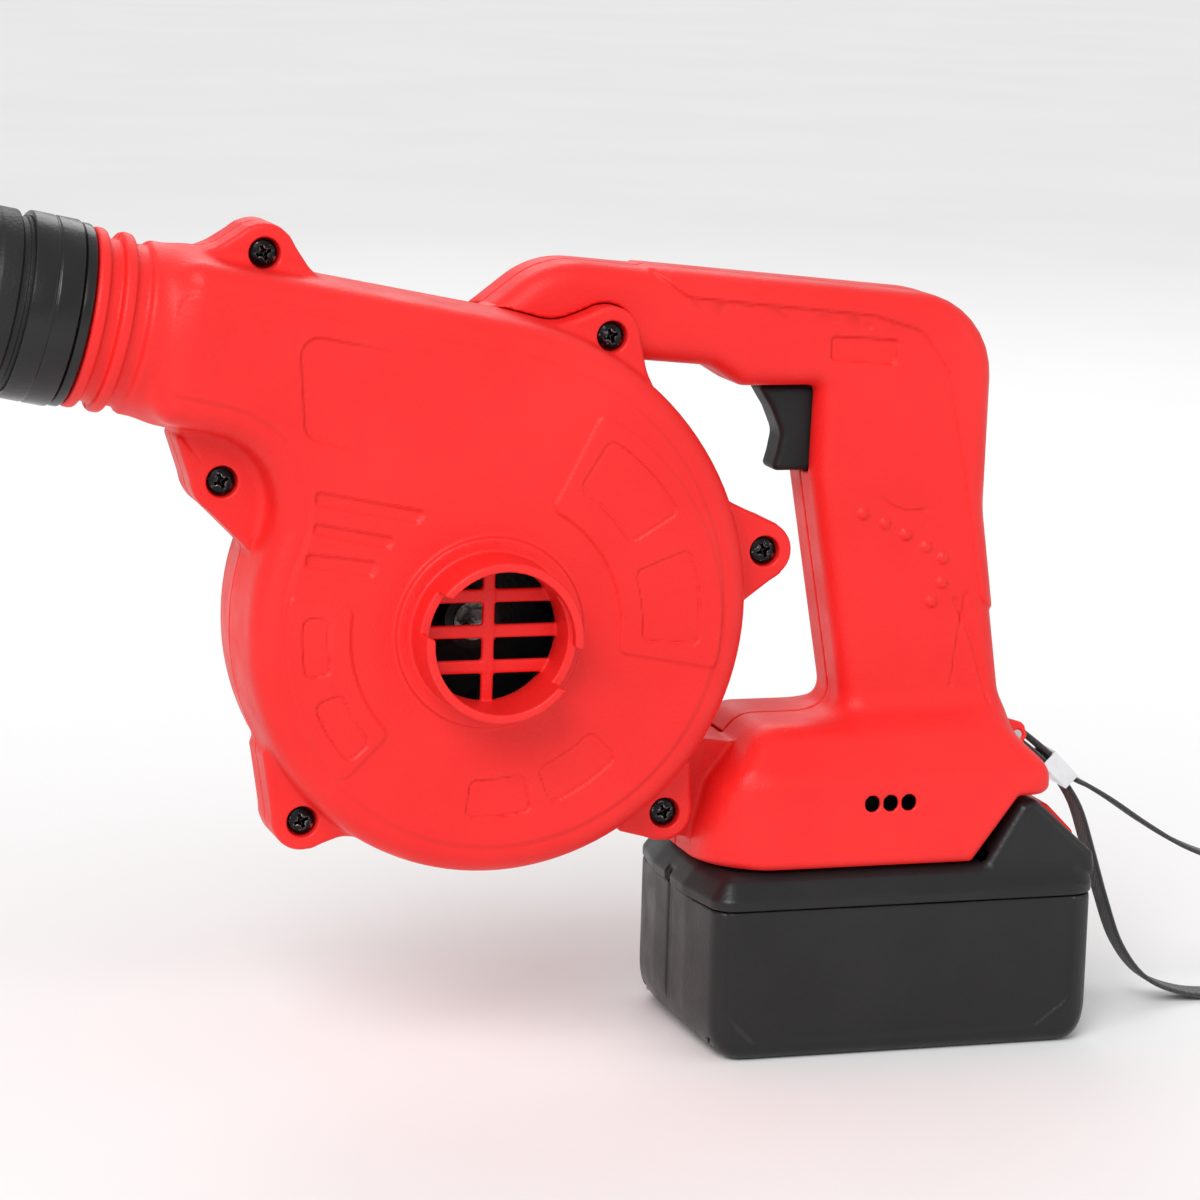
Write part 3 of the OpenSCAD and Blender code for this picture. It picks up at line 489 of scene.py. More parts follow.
class Nodes:
    """Short way to build a procedural material."""

    def __init__(self, name):
        self.material = bpy.data.materials.new(name)
        self.material.use_nodes = True
        self.tree = self.material.node_tree
        self.shader = self.tree.nodes["Principled BSDF"]
        self.place = self.add("ShaderNodeTexCoord").outputs["Object"]

    def add(self, kind, links=(), **values):
        node = self.tree.nodes.new(kind)
        for key, value in values.items():
            if key in node.inputs:
                node.inputs[key].default_value = value
            else:
                setattr(node, key, value)
        for socket, source in links:
            self.tree.links.new(source, node.inputs[socket])
        return node

    def noise(self, scale, detail=3.0, roughness=0.5):
        node = self.add("ShaderNodeTexNoise", [("Vector", self.place)], Scale=scale, Detail=detail,
                        Roughness=roughness)
        return node.outputs["Fac"]

    def cells(self, scale):
        return self.add("ShaderNodeTexVoronoi", [("Vector", self.place)], Scale=scale).outputs["Distance"]

    def spread(self, value, low, high, a=0.35, b=0.65):
        """value, mapped from a..b to low..high."""
        ends = {"From Min": a, "From Max": b, "To Min": low, "To Max": high}
        return self.add("ShaderNodeMapRange", [("Value", value)], **ends).outputs["Result"]

    def mix(self, factor, first, second):
        node = self.add("ShaderNodeMix", data_type="RGBA")
        self.tree.links.new(factor, node.inputs["Factor"])
        for socket, colour in (("A", first), ("B", second)):
            target = [s for s in node.inputs if s.name == socket and s.type == "RGBA"][0]
            if isinstance(colour, tuple):
                target.default_value = (*colour, 1)
            else:
                self.tree.links.new(colour, target)
        return [s for s in node.outputs if s.type == "RGBA"][0]

    def maths(self, operation, first, second):
        node = self.add("ShaderNodeMath", operation=operation)
        for i, value in enumerate((first, second)):
            if isinstance(value, (int, float)):
                node.inputs[i].default_value = value
            else:
                self.tree.links.new(value, node.inputs[i])
        return node.outputs[0]

    def edge_highlight(self, strength=1.0):
        """1 on sharp outside edges, broken up by noise: the mask of a painted edge highlight."""
        node = self.add("ShaderNodeNewGeometry")
        rim = self.spread(node.outputs["Pointiness"], 0, strength, 0.52, 0.6)
        return self.maths("MULTIPLY", rim, self.spread(self.noise(160), 0, 1))

    def finish(self, colour, roughness, height, depth, **sockets):
        link = self.tree.links.new
        if isinstance(colour, tuple):
            self.shader.inputs["Base Color"].default_value = (*colour, 1)
        else:
            link(colour, self.shader.inputs["Base Color"])
        link(roughness, self.shader.inputs["Roughness"])
        bump = self.add("ShaderNodeBump", [("Height", height)], Strength=1.0, Distance=depth)
        link(bump.outputs["Normal"], self.shader.inputs["Normal"])
        for name, value in sockets.items():
            self.shader.inputs[name.replace("_", " ")].default_value = value
        return self.material


def moulded(name, colour, shade, rough, grain=2600, depth=0.00006, edge=None, gloss=0.4):
    """Moulded plastic: fine spark-eroded grain, slight mottling, and a painted highlight, a lighter colour,
    on the sharp edges.
    """
    n = Nodes(name)
    mottle = n.spread(n.noise(22, 4), 0, 1)
    tint = n.mix(mottle, colour, shade)
    # edge is the colour of the painted edge highlight, laid on the sharp outside edges
    if edge:
        tint = n.mix(n.edge_highlight(0.5), tint, edge)
    fine = n.noise(grain, 2, 0.6)
    pits = n.cells(grain * 0.55)
    roughness = n.spread(n.noise(90, 3), rough - 0.05, rough + 0.07)
    return n.finish(tint, roughness, n.maths("ADD", fine, pits), depth, Specular_IOR_Level=gloss)


def metal(name, colour, shade, rough, scale=900, depth=0.00002, metallic=1.0):
    n = Nodes(name)
    tint = n.mix(n.spread(n.noise(60, 4), 0, 1), colour, shade)
    roughness = n.spread(n.noise(300, 3), rough - 0.08, rough + 0.1)
    return n.finish(tint, roughness, n.noise(scale, 3), depth, Metallic=metallic)


def oxide(name):
    """Black-oxide screws, with a painted glint: a light colour on the sharp edges and in noise patches."""
    n = Nodes(name)
    # light colour on the edges and in noise patches: a painted glint
    painted_glint = n.maths("MAXIMUM", n.edge_highlight(1.0), n.spread(n.noise(900, 3), 0, 0.5, 0.6, 0.75))
    tint = n.mix(painted_glint, (0.02, 0.02, 0.022), (0.55, 0.53, 0.5))
    roughness = n.spread(n.noise(500, 2), 0.2, 0.38)
    return n.finish(tint, roughness, n.noise(1200, 3), 0.00002, Metallic=1.0)


def wound(name, colour, shade):
    """Enamelled wire lying side by side."""
    n = Nodes(name)
    wave = n.add("ShaderNodeTexWave", [("Vector", n.place)], bands_direction="X", Scale=500, Distortion=0.6)
    # the colour darkens in the grooves between the wires, where the bump sinks: painted shade
    tint = n.mix(wave.outputs["Fac"], shade, colour)
    return n.finish(tint, n.spread(n.noise(200), 0.3, 0.45), wave.outputs["Fac"], 0.0002, Metallic=0.7)


def woven(name):
    """Nylon webbing in a herringbone weave; U runs across the strap and V along it."""
    n = Nodes(name)
    lie = n.add("ShaderNodeUVMap", uv_map="weave").outputs["UV"]
    parts = n.add("ShaderNodeSeparateXYZ", [("Vector", lie)])
    u, v = parts.outputs["X"], parts.outputs["Y"]
    chevron = n.maths("MULTIPLY", n.maths("PINGPONG", u, 0.25), 6.0)
    ribs = n.maths("SINE", n.maths("MULTIPLY", n.maths("ADD", chevron, v), 2 * math.pi), 0)
    warp = n.maths("SINE", n.maths("MULTIPLY", u, 11 * 2 * math.pi), 0)
    yarn = n.maths("MAXIMUM", ribs, n.maths("MULTIPLY", warp, 0.7))
    fuzz = n.noise(4200, 2)
    height = n.maths("ADD", n.maths("MULTIPLY", yarn, 0.5), n.maths("MULTIPLY", fuzz, 0.6))
    # colour follows the weave's height, darker in its hollows and lighter on the yarn's crests: painted shade
    # and highlight, with a random fuzz tone mixed in
    tint = n.mix(n.spread(height, 0, 1, -0.2, 0.9), (0.006, 0.006, 0.007), (0.034, 0.034, 0.037))
    return n.finish(tint, n.spread(fuzz, 0.7, 0.9), height, 0.00035, Sheen_Weight=0.35, Sheen_Roughness=0.5)


BLACK, DEEP_BLACK = (0.012, 0.012, 0.013), (0.008, 0.008, 0.009)
# the edge colours below are painted edge highlights
RED = moulded("red_plastic", (0.84, 0.022, 0.02), (0.78, 0.016, 0.015), 0.43,
              edge=(0.9, 0.05, 0.04), gloss=0.3)
RED_SATIN = moulded("button_plastic", (0.76, 0.014, 0.012), (0.64, 0.01, 0.01), 0.38,
                    depth=0.00003, gloss=0.3)
PACK_BLACK = moulded("pack_plastic", BLACK, DEEP_BLACK, 0.36, grain=1700, depth=0.00004,
                     edge=(0.05, 0.05, 0.054), gloss=0.35)
DARK = moulded("black_plastic", BLACK, DEEP_BLACK, 0.46, grain=1500, depth=0.00007,
               edge=(0.05, 0.05, 0.052), gloss=0.35)
BAND = moulded("band_plastic", (0.01, 0.01, 0.011), (0.006, 0.006, 0.007), 0.24, grain=1100, depth=0.00003)
GRIPPY = moulded("trigger_plastic", (0.009, 0.011, 0.012), (0.006, 0.008, 0.008), 0.5,
                 depth=0.00005, gloss=0.3)
SCREW = oxide("black_oxide")
STEEL = metal("drawn_steel", (0.6, 0.6, 0.62), (0.46, 0.46, 0.48), 0.3)
TIN = metal("tinned_metal", (0.72, 0.7, 0.66), (0.58, 0.57, 0.54), 0.28)
CRIMP = metal("pressed_metal", (0.82, 0.82, 0.84), (0.7, 0.7, 0.73), 0.18, 400, 0.00003)
# the wound wire's second colour is painted shade between its turns
COPPER = wound("wound_wire", (0.75, 0.33, 0.14), (0.4, 0.15, 0.06))
BRASS = metal("turned_bronze", (0.72, 0.5, 0.26), (0.55, 0.36, 0.18), 0.3)
MAGNET = metal("sintered_magnet", (0.07, 0.07, 0.075), (0.04, 0.04, 0.045), 0.6, 700, 0.00006, 0.4)
CARBON = moulded("pressed_carbon", (0.03, 0.03, 0.032), (0.018, 0.018, 0.02), 0.6)
WRAP = moulded("cell_wrap", (0.02, 0.16, 0.26), (0.015, 0.12, 0.2), 0.25, depth=0.00001)
MASK = moulded("solder_mask", (0.01, 0.12, 0.045), (0.008, 0.08, 0.03), 0.24, grain=900, depth=0.00002)
WEAVE = woven("woven_nylon")


def dress(nodes, material, bevel=0.0):
    """Procedural finish, and softened edges, on CAD nodes that keep their own mesh."""
    for name in nodes:
        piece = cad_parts[name]
        piece.data.materials.clear()
        piece.data.materials.append(material)
        if bevel:
            edge = piece.modifiers.new("edges", "BEVEL")
            edge.width = bevel * MM
            edge.segments = 2
            edge.limit_method = "ANGLE"
            edge.angle_limit = math.radians(40)
            edge.harden_normals = True


dress(["impeller"], DARK)
dress(["motor_end_cap", "switch_body", "terminal_block", "cell_holders"], DARK, 0.2)
dress(["impeller_washer", "impeller_nut", "motor_screws", "battery_screws"], SCREW, 0.12)
dress(["motor_shaft", "motor_can", "armature_core", "trigger_plunger", "strap_pin"], STEEL, 0.15)
dress(["trigger_spring", "button_spring"], STEEL)
dress(["armature_windings"], COPPER, 0.3)
dress(["commutator", "motor_bearings"], BRASS, 0.1)
dress(["motor_magnets"], MAGNET, 0.15)
dress(["motor_brushes"], CARBON, 0.1)
dress(["switch_tabs", "contact_blades", "cell_straps", "battery_clips"], TIN, 0.1)
dress(["battery_cells"], WRAP, 0.5)
dress(["battery_board"], MASK, 0.1)
dress(["strap_crimp"], CRIMP, 0.25)

# ---------- wrist strap ----------


def smooth_route(points, cuts):
    """Catmull-Rom curve through the route, in millimetres."""
    p = [np.array((x, 0.0, z)) for x, z in points]
    out = []
    for i in range(len(p) - 1):
        a, b, c, d = p[max(i - 1, 0)], p[i], p[i + 1], p[min(i + 2, len(p) - 1)]
        for j in range(cuts):
            t = j / cuts
            out.append((2 * b + (c - a) * t + (2 * a - 5 * b + 4 * c - d) * t * t
                        + (3 * b - a - 3 * c + d) * t ** 3) / 2)
    out.append(p[-1])
    return np.array(out)


def webbing(name, lies, way):
    """A flat ribbon along lies, in millimetres; way is the length so far at each point, for the weave."""
    side = np.array((0.0, 1.0, 0.0))
    up = np.cross(np.gradient(lies, axis=0), side)
    up /= np.linalg.norm(up, axis=1, keepdims=True)
    edge = [(-0.97, 0.7), (-0.85, 0.98), (-0.4, 1), (0, 1), (0.4, 1), (0.85, 0.98), (0.97, 0.7)]
    across = [(-1, 0)] + edge + [(1, 0)] + [(a, -b) for a, b in reversed(edge)]
    rings = [[p + side * (a * STRAP_W / 2) + u * (b * STRAP_T / 2) for a, b in across]
             for p, u in zip(lies, up)]
    piece = loft(name, rings, WEAVE)
    weave = piece.data.uv_layers.new(name="weave")
    for polygon in piece.data.polygons:
        for loop in polygon.loop_indices:
            row, column = divmod(piece.data.loops[loop].vertex_index, len(across))
            weave.data[loop].uv = ((across[column][0] + 1) / 2, way[row] / RIB_PITCH)
    return settle(piece, "strap_webbing", "main")


def add_strap():
    """The loop is one piece, and the two strands between the pin and the crimp's mouth are two more."""
    cuts = 8
    path = smooth_route(STRAP_ROUTE, cuts)
    way = np.concatenate(([0], np.cumsum(np.linalg.norm(np.diff(path, axis=0), axis=1))))
    waves = 0.6 * np.sin(way / 31) * np.clip(way / 40, 0, 1) * np.clip((way[-1] - way) / 40, 0, 1)
    lies = path + np.array((0, 1, 0)) * waves[:, None]
    held = (STRAP_HELD - 1) * cuts
    leads = [webbing("strap_lead_1", lies[:held + 1], way[:held + 1]),
             webbing("strap_lead_2", lies[-held - 1:], way[-held - 1:])]
    free = slice(held, -held)
    loop = webbing("wrist_strap", lies[free], way[free])
    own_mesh(loop)


add_strap()

# ---------- red housing ----------

# Distance between sample points, in millimetres, coarser for trial looks
COARSE = 0.8
FACE_STEP = 0.6
FINE = 0.45
PACK_STEP = FINE * 1.6


def spiral_solid(f, inset=0.0):
    """The spiral housing and its duct, with rounded edges all round."""
    rounding = 8.0
    outline = outline_distance(housing_outline(rounding, 5 + rounding), f.x, f.z) - rounding + inset
    deep = np.abs(f.y - SEAM_Y)
    draft = 0.08 * np.minimum(deep, 18)
    return both(outline + draft, deep - (BACK_Y - SEAM_Y) + inset, 7.5)


def lug_solids(f):
    """The six screw lugs, from front to back."""
    fan = np.array((FAN_X, FAN_Z))
    whole = f.side_view(THROAT_WEB)
    for centre, first, second in LUGS:
        c = np.array(centre, float)
        inner = (np.array(first) + np.array(second)) / 2
        inner = inner + (fan - c) / np.linalg.norm(fan - c) * 16
        outline = [(*point_of_touch(first, c, 1), 0.2), (*first, 1), (*inner, 1), (*second, 1),
                   (*point_of_touch(second, c, -1), 0.2)]
        view = join(np.hypot(f.x - c[0], f.z - c[1]) - LUG_R, f.side_view(outline), 1.0)
        whole = np.minimum(whole, view)
    return both(whole, f.between_y(SEAM_Y - LUG_HALF, SEAM_Y + LUG_HALF), 1.6)


def point_of_touch(point, centre, side):
    """Where a line from the point touches the lug's round end."""
    p = np.array(point, float) - centre
    d = np.linalg.norm(p)
    a = math.atan2(p[1], p[0]) + side * math.acos(LUG_R / d)
    return centre + LUG_R * np.array((math.cos(a), math.sin(a)))


def neck_solid(f):
    """Round neck with two ribs and the spigot that carries the nozzle."""
    along, out = f.duct()
    body = both(out - NECK_R, np.abs(along + 9) - 9, 1.5)
    spigot = both(out - SPIGOT_R, np.abs(along - 16) - 18)
    whole = join(body, spigot, 1.2)
    for s in (5.95, 13.35):
        whole = join(whole, both(out - RIB_R, np.abs(along - s) - 1.75, 1.1), 0.8)
    return whole


FACE_STRIPS = (
    [(-176.2, 168.7, 1), (-176.4, 164.8, 1), (-147.6, 159.5, 1), (-144.9, 162.5, 1)],
    [(-176.6, 159.9, 1), (-176.8, 157.1, 1), (-155.7, 152.5, 1), (-153.8, 155.5, 1)],
    [(-178.4, 151.6, 1), (-178.9, 148.1, 1), (-160.3, 144.8, 1), (-158.4, 148.9, 1)],
)
# inner and outer radius, first and last angle round the fan
FACE_FIELDS = ((46.5, 63, 31, 58), (44.5, 61.5, -5, 21), (42, 53, 264, 285), (42, 53, 291, 316),
               (45.5, 53, 174, 193), (44.5, 53, 201, 222))


def face_relief(f):
    """Height of the cover's face above its plane: raised panel, two swept steps, sunk strips and fields."""
    panel = outline_distance(housing_outline(15, 12), f.x, f.z) - 5
    high = 0.9 * ramp(panel, 1.8)
    high = high + 0.7 * ramp(ring_sector(f, 38, 68, -10.5, 63), 1.2)
    high = high + 0.6 * ramp(ring_sector(f, 39.5, 58, 168.5, 225), 1.2)
    label = f.side_view([(-181.5, 212, 5), (-179.5, 183, 5), (-146, 176, 5), (-146, 205, 5)])
    high = high - 1.0 * ramp(label, 1.1) * np.clip((-148 - f.x) / 26, 0, 1)
    for strip in FACE_STRIPS:
        high = high - 0.9 * ramp(f.side_view(strip, 3), 1.4)
    for sector in FACE_FIELDS:
        d = ring_sector(f, *sector)
        high = high - 0.4 * ramp(d, 0.9) - 0.55 * ramp(np.abs(d + 0.2) - 0.2, 0.9)
    return high


def cover_outside(f, with_face=True):
    """The fan cover's outside: housing, lugs, neck and the face's relief."""
    solid = spiral_solid(f)
    if with_face:
        solid = solid - face_relief(f) * ramp(f.y - FACE_Y - 5, 6)
    whole = join(solid, neck_solid(f), 5)
    return join(whole, lug_solids(f), 3.2)


def housing_hollow(f):
    """The hollow of the spiral, less the screws' posts, and the bore of the neck."""
    inner = spiral_solid(f, WALL)
    for centre, _, _ in LUGS:
        inner = cut(inner, f.rod_y(centre[0], centre[1], 5.0, SEAM_Y - 20, SEAM_Y + 20), 1.0)
    along, out = f.duct()
    bore = both(out - (SPIGOT_R - 2), np.abs(along - 14) - 30)
    return inner, both(bore, -(f.x + 200))


def screw_holes(f, solid, hole, counterbore=0.0):
    for (x, z), _, _ in LUGS:
        solid = cut(solid, f.rod_y(x, z, hole, SEAM_Y - 30, SEAM_Y + 8))
        if counterbore:
            solid = cut(solid, f.rod_y(x, z, counterbore, SEAM_Y - 30, SCREW_FACE), 0.5)
    return solid


def intake(f, solid):
    """Stepped collar with its two bayonet gaps, and the grille across the hole."""
    r, angle = f.round_fan()
    solid = join(solid, both(r - STEP_R, f.between_y(FACE_Y - 2.6, FACE_Y + 3), 0.7), 1.2)
    flare = 0.02 * (f.y - FACE_Y + COLLAR_OUT)
    collar = both(r - COLLAR_R - flare, f.between_y(FACE_Y - COLLAR_OUT, FACE_Y + 3), 0.9)
    solid = join(solid, collar, 1.0)
    solid = cut(solid, both(r - INTAKE_R, f.between_y(FACE_Y - COLLAR_OUT - 2, FACE_Y + 4)), 0.5)
    gap_end = FACE_Y - COLLAR_OUT + GAP_DEEP
    for degrees in (158, -22):
        a = math.radians(degrees)
        along = (f.x - FAN_X) * math.cos(a) + (f.z - FAN_Z) * math.sin(a)
        across = (f.z - FAN_Z) * math.cos(a) - (f.x - FAN_X) * math.sin(a)
        gap = both(both(np.abs(across) - 6, 18 - along), f.y - gap_end, 0.5)
        solid = cut(solid, gap, 0.6)
        turn = (angle - a) % (2 * math.pi)
        groove = both(r - INTAKE_R - 1.3, r * (turn - math.radians(58)))
        solid = cut(solid, both(groove, f.between_y(gap_end - 4, gap_end)))
    bars = both(np.abs(f.x - FAN_X) - 1.7, f.between_y(FACE_Y, FACE_Y + 2.2), 0.6)
    for k in (-1, 0, 1):
        bar = both(np.abs(f.z - FAN_Z - 10 * k) - 1.9, f.between_y(FACE_Y + 0.2, FACE_Y + 2), 0.6)
        bars = join(bars, bar, 0.8)
    return join(solid, both(bars, r - INTAKE_R - 1.0), 0.6)


def add_cover():
    """Fan cover: front half of the housing with its relief, neck, lugs and intake."""
    f = Field((-260, -56, 46), (-30, SEAM_Y + 1.5, 246), FACE_STEP)
    inner, bore = housing_hollow(f)
    solid = cut(cover_outside(f), inner)
    solid = intake(f, solid)
    solid = cut(solid, bore)
    solid = screw_holes(f, solid, 2.2, 4.4)
    solid = both(solid, f.y - (SEAM_Y - SEAM_GAP))
    return skin("fan_cover_shell", f, solid, RED, 0.3)


BAND_VIEW = [
    (-79, 240, 1), (-74.5, 226, 3), (-64, 218.5, 4), (-8, 213, 8), (7, 208.5, 8), (15.5, 197, 6),
    (19.5, 178, 8), (24, 157, 10), (29, 129, 6), (60, 110, 1), (60, 240, 1),
]
GRIP_DOTS = ((-8.8, 155.5), (-1.8, 152.5), (4.8, 149.1), (11.2, 145.4), (16.7, 142), (16.7, 134.6),
             (13.6, 129.1))
GRIP_LINES = ([(20.8, 129.5), (27, 117), (31, 104), (33.5, 95.6)], [(24.5, 131), (22.5, 118), (21, 104)],
              [(-3.1, 159.5), (1, 156.8), (6, 155.6), (10.7, 156.3)])


def handle_solid(f):
    """Handle and grip: rounded bar with a raised band over its top and back, and a grip texture."""
    view = f.side_view(GRIP_VIEW, 8)
    band = f.side_view(BAND_VIEW)
    lift = 1.0 * ramp(band, 1.2)
    label = f.side_view([(-20.5, 207.2, 1), (-20.5, 200.3, 1), (-0.8, 198.7, 1), (0.1, 205.9, 1)], 3)
    side = lift - 1.0 * ramp(label, 0.9) - 0.6 * ramp(np.hypot(f.x + 9.3, f.z - 209.8) - 1.1, 1.0)
    for x, z in GRIP_DOTS:
        side = side + np.sqrt(np.maximum(0, 1 - ((f.x - x) ** 2 + (f.z - z) ** 2) / 3.4)) * 1.0
    for line in GRIP_LINES:
        side = side - 0.7 * ramp(line_distance(f, line) - 0.5, 0.9)
    return both(view - 0.5 * lift, np.abs(f.y) - GRIP_HALF + 0.5 - side, 6.5)


def foot_solid(f):
    """Red foot: its three views cut to each other, with eased edges."""
    solid = both(f.side_view(BASE_VIEW), f.plan(BASE_PLAN, 10), 3.0)
    return both(solid, f.cross_view(BASE_CUT), 4.0)


def handle_and_foot(f):
    """Hollow grip and foot in one, with screw posts, strap ears, the pack's slide, trigger slot and vents."""
    solid = join(handle_solid(f), foot_solid(f), 12)
    hollow = solid + WALL
    ears = np.minimum(f.between_y(-9.4, -6.2), f.between_y(6.2, 9.4))
    solid = join(solid, both(f.side_view(EAR_VIEW), ears, 0.6), 1.5)
    solid = cut(solid, hollow)
    for x, z in SHELL_POSTS:
        post = f.rod_y(x, z, 3.6, -GRIP_HALF, GRIP_HALF)
        solid = np.minimum(solid, both(post, hollow - WALL * 0.6))
    slide = np.minimum(f.box(-46, 60, -20, 20, BASE_FLOOR - 4, 66), f.box(-46, 60, -24, 24, 58.5, 66))
    solid = cut(solid, slide, 0.4)
    solid = cut(solid, f.box(-32, TRIGGER_BACK + 16, -6.4, 6.4, 166.6, TRIGGER_TOP - 0.1, 0.5), 0.5)
    for side in (-1, 1):
        face = side * (BASE_HALF - 1.2)
        solid = cut(solid, f.box(-18, 10.5, face - 0.8, face + 0.8, 69.5, 77.5, 0.4), 0.3)
        for x in (-9.6, -4, 1.6):
            solid = cut(solid, f.rod_y(x, 74, 2.4, face - 2.2, face + 2.2), 0.3)
            solid = cut(solid, f.rod_y(x, 74, 1.3, face - 5, face + 5))
    return cut(solid, f.rod_y(*STRAP_PIN, 1.5, -11, 11))


def add_near_shell():
    """Back half of the fan's housing with the motor's seat, and the near half of grip and foot."""
    f = Field((-260, -38.5, 52), (52, BACK_Y + 2, 246), COARSE)
    inner, bore = housing_hollow(f)
    outside = cover_outside(f, False)
    spiral = join(outside, both(f.side_view(BRIDGE_VIEW), f.between_y(SEAM_Y - 2, BACK_Y), 1.5), 2.5)
    back = cut(cut(both(spiral, SEAM_Y + SEAM_GAP - f.y), inner), bore)
    grip = both(handle_and_foot(f), f.y + SEAM_GAP)
    grip = cut(grip, both(outside - GRIP_GAP, f.y - BACK_Y - 5))
    grip = cut(grip, inner)
    for x, z in SHELL_POSTS:
        grip = cut(grip, f.rod_y(x, z, 1.55, -10, 1))
    solid = join(back, grip, 1.5)
    solid = both(solid, -both(outside - GRIP_GAP, f.y - SEAM_Y - SEAM_GAP))
    boss = f.fan_rod(MOTOR_R + 2.4, MOTOR_FRONT - 2.4, BACK_Y, 0.6)
    solid = join(solid, boss, 1.5)
    solid = cut(solid, f.fan_rod(MOTOR_R + 0.1, MOTOR_FRONT, BACK_Y + 4))
    for dx, radius in ((0, 6.6), (-12.5, 1.7), (12.5, 1.7)):
        solid = cut(solid, f.fan_rod(radius, MOTOR_FRONT - 5, MOTOR_FRONT + 1, 0, dx))
    solid = screw_holes(f, solid, 1.95)
    return skin("near_shell", f, solid, RED, 0.4)


def motor_cup(f):
    """Round cup over the motor, with cooling slots in its end and its side."""
    solid = f.fan_rod(CUP_R, BACK_Y + 0.1, CUP_BACK, 4)
    inner = f.fan_rod(CUP_R - WALL, BACK_Y - 1, CUP_BACK - WALL, 2)
    for k in range(-3, 4):
        half = 2 * (11 - abs(k))
        solid = cut(solid, f.box(FAN_X - half, FAN_X + half, CUP_BACK - 5, CUP_BACK + 1,
                                 FAN_Z + 6.5 * k - 1.4, FAN_Z + 6.5 * k + 1.4, 1.2), 0.5)
    r, angle = f.round_fan()
    off = np.abs((angle + math.radians(10)) % math.radians(20) - math.radians(10))
    slots = both(off * CUP_R - 1.5, CUP_R - 6 - r)
    return cut(solid, both(slots, f.between_y(30, 46), 1.0), 0.5), inner


def add_far_shell():
    """Plate and motor cup behind the fan, and the far half of grip and foot."""
    f = Field((-215, -1.5, 52), (52, CUP_BACK + 1.5, 240), COARSE)
    outside = cover_outside(f, False)
    bridge = f.side_view(BRIDGE_VIEW)
    spiral = join(outside, both(bridge, f.between_y(SEAM_Y, BACK_Y)), 1.0)
    grip = both(handle_and_foot(f), SEAM_GAP - f.y)
    for x, z in SHELL_POSTS:
        grip = cut(grip, f.rod_y(x, z, 1.95, -1, 20))
        grip = cut(grip, f.rod_y(x, z, 3.4, 11, 20), 0.4)
    grip = cut(grip, spiral - GRIP_GAP)
    plate = outline_distance(housing_outline(12, 24), f.x, f.z) - 3
    plate = both(np.minimum(plate, bridge), f.between_y(BACK_Y + 0.15, BACK_Y + 2.4), 0.8)
    cup, inner = motor_cup(f)
    solid = join(grip, join(plate, cup, 3.0), 2.0)
    solid = cut(solid, inner)
    return skin("far_shell", f, both(solid, SEAM_GAP - f.y), RED, 0.4)


settle(add_cover(), "fan_cover", "main")
settle(add_near_shell(), "body_shell_near", "main")
settle(add_far_shell(), "body_shell_far", "main")

# ---------- battery pack ----------

POST_XY = [(x, y) for x in (PACK_FRONT + 7.5, PACK_REAR - 6.5) for y in (-30, 30)]
POST_R = 3.2
PANEL_VIEW = [(-53.5, 60, 1), (-53.2, 14, 4), (-45, 5.6, 4), (42.5, 5.6, 4), (53.2, 13.5, 4), (53.5, 60, 1)]


def pack_box(z0, z1):
    return Field((PACK_FRONT - 2, -PACK_HALF - 2, z0), (PACK_REAR + 2, PACK_HALF + 2, z1), PACK_STEP)


def seam_groove(f):
    return 0.35 * ramp(np.abs(f.z - PACK_SEAM) - 0.5, 0.8)


def at_posts(f, solid, radius, z0, z1, ease=0.0):
    """Cuts a round hole at each of the pack's four screws."""
    for x, y in POST_XY:
        solid = cut(solid, f.rod_z(x, y, radius, z0, z1), ease)
    return solid


def add_case():
    """Pack's case: sunk panels in its sides, rounded lower edge, groove in front."""
    f = pack_box(-1.5, PACK_SEAM + 1.5)
    outline = f.plan(PACK_PLAN, 8)
    flanks = np.clip((np.abs(f.y) - 30) / 3, 0, 1)
    sunk = 0.7 * ramp(f.side_view(PANEL_VIEW), 1.6) * flanks + seam_groove(f)
    side = f.side_view(CASE_VIEW, 10)
    solid = both(both(outline + sunk, side, 4.5), f.z - (PACK_SEAM - 0.1))
    hollow = both(outline + PACK_WALL, side + PACK_WALL, 3)
    solid = cut(solid, at_posts(f, hollow, POST_R, -5, 60, 0.8))
    solid = cut(solid, f.box(PACK_FRONT - 3, PACK_FRONT + 1.6, -2, 2, 6, 60, 0.5), 0.8)
    solid = at_posts(f, at_posts(f, solid, 1.7, -5, 60), 3.1, -5, 6, 0.5)
    return skin("pack_case", f, solid, PACK_BLACK, 0.45)


# Ease of the edge, then the box: inside the wedge and the rails, two blade slots, button, catch, front groove
LID_CUTS = (
    (0, 26, 54, -30.5, 30.5, 51, 57), (0, -37, 24, -16.5, 16.5, 51, 56.6),
    (0.5, -41, 6, -BLADE_Y - 1.9, 1.9 - BLADE_Y, 56, 65), (0.5, -41, 6, BLADE_Y - 1.9, BLADE_Y + 1.9, 56, 65),
    (0.6, 51, 68, -9.4, 9.4, 47.4, 70), (0.4, 38.6, 43.4, -6.4, 6.4, 64, 76),
    (0.6, PACK_FRONT - 3, PACK_FRONT + 1.6, -2, 2, 40, 50),
)


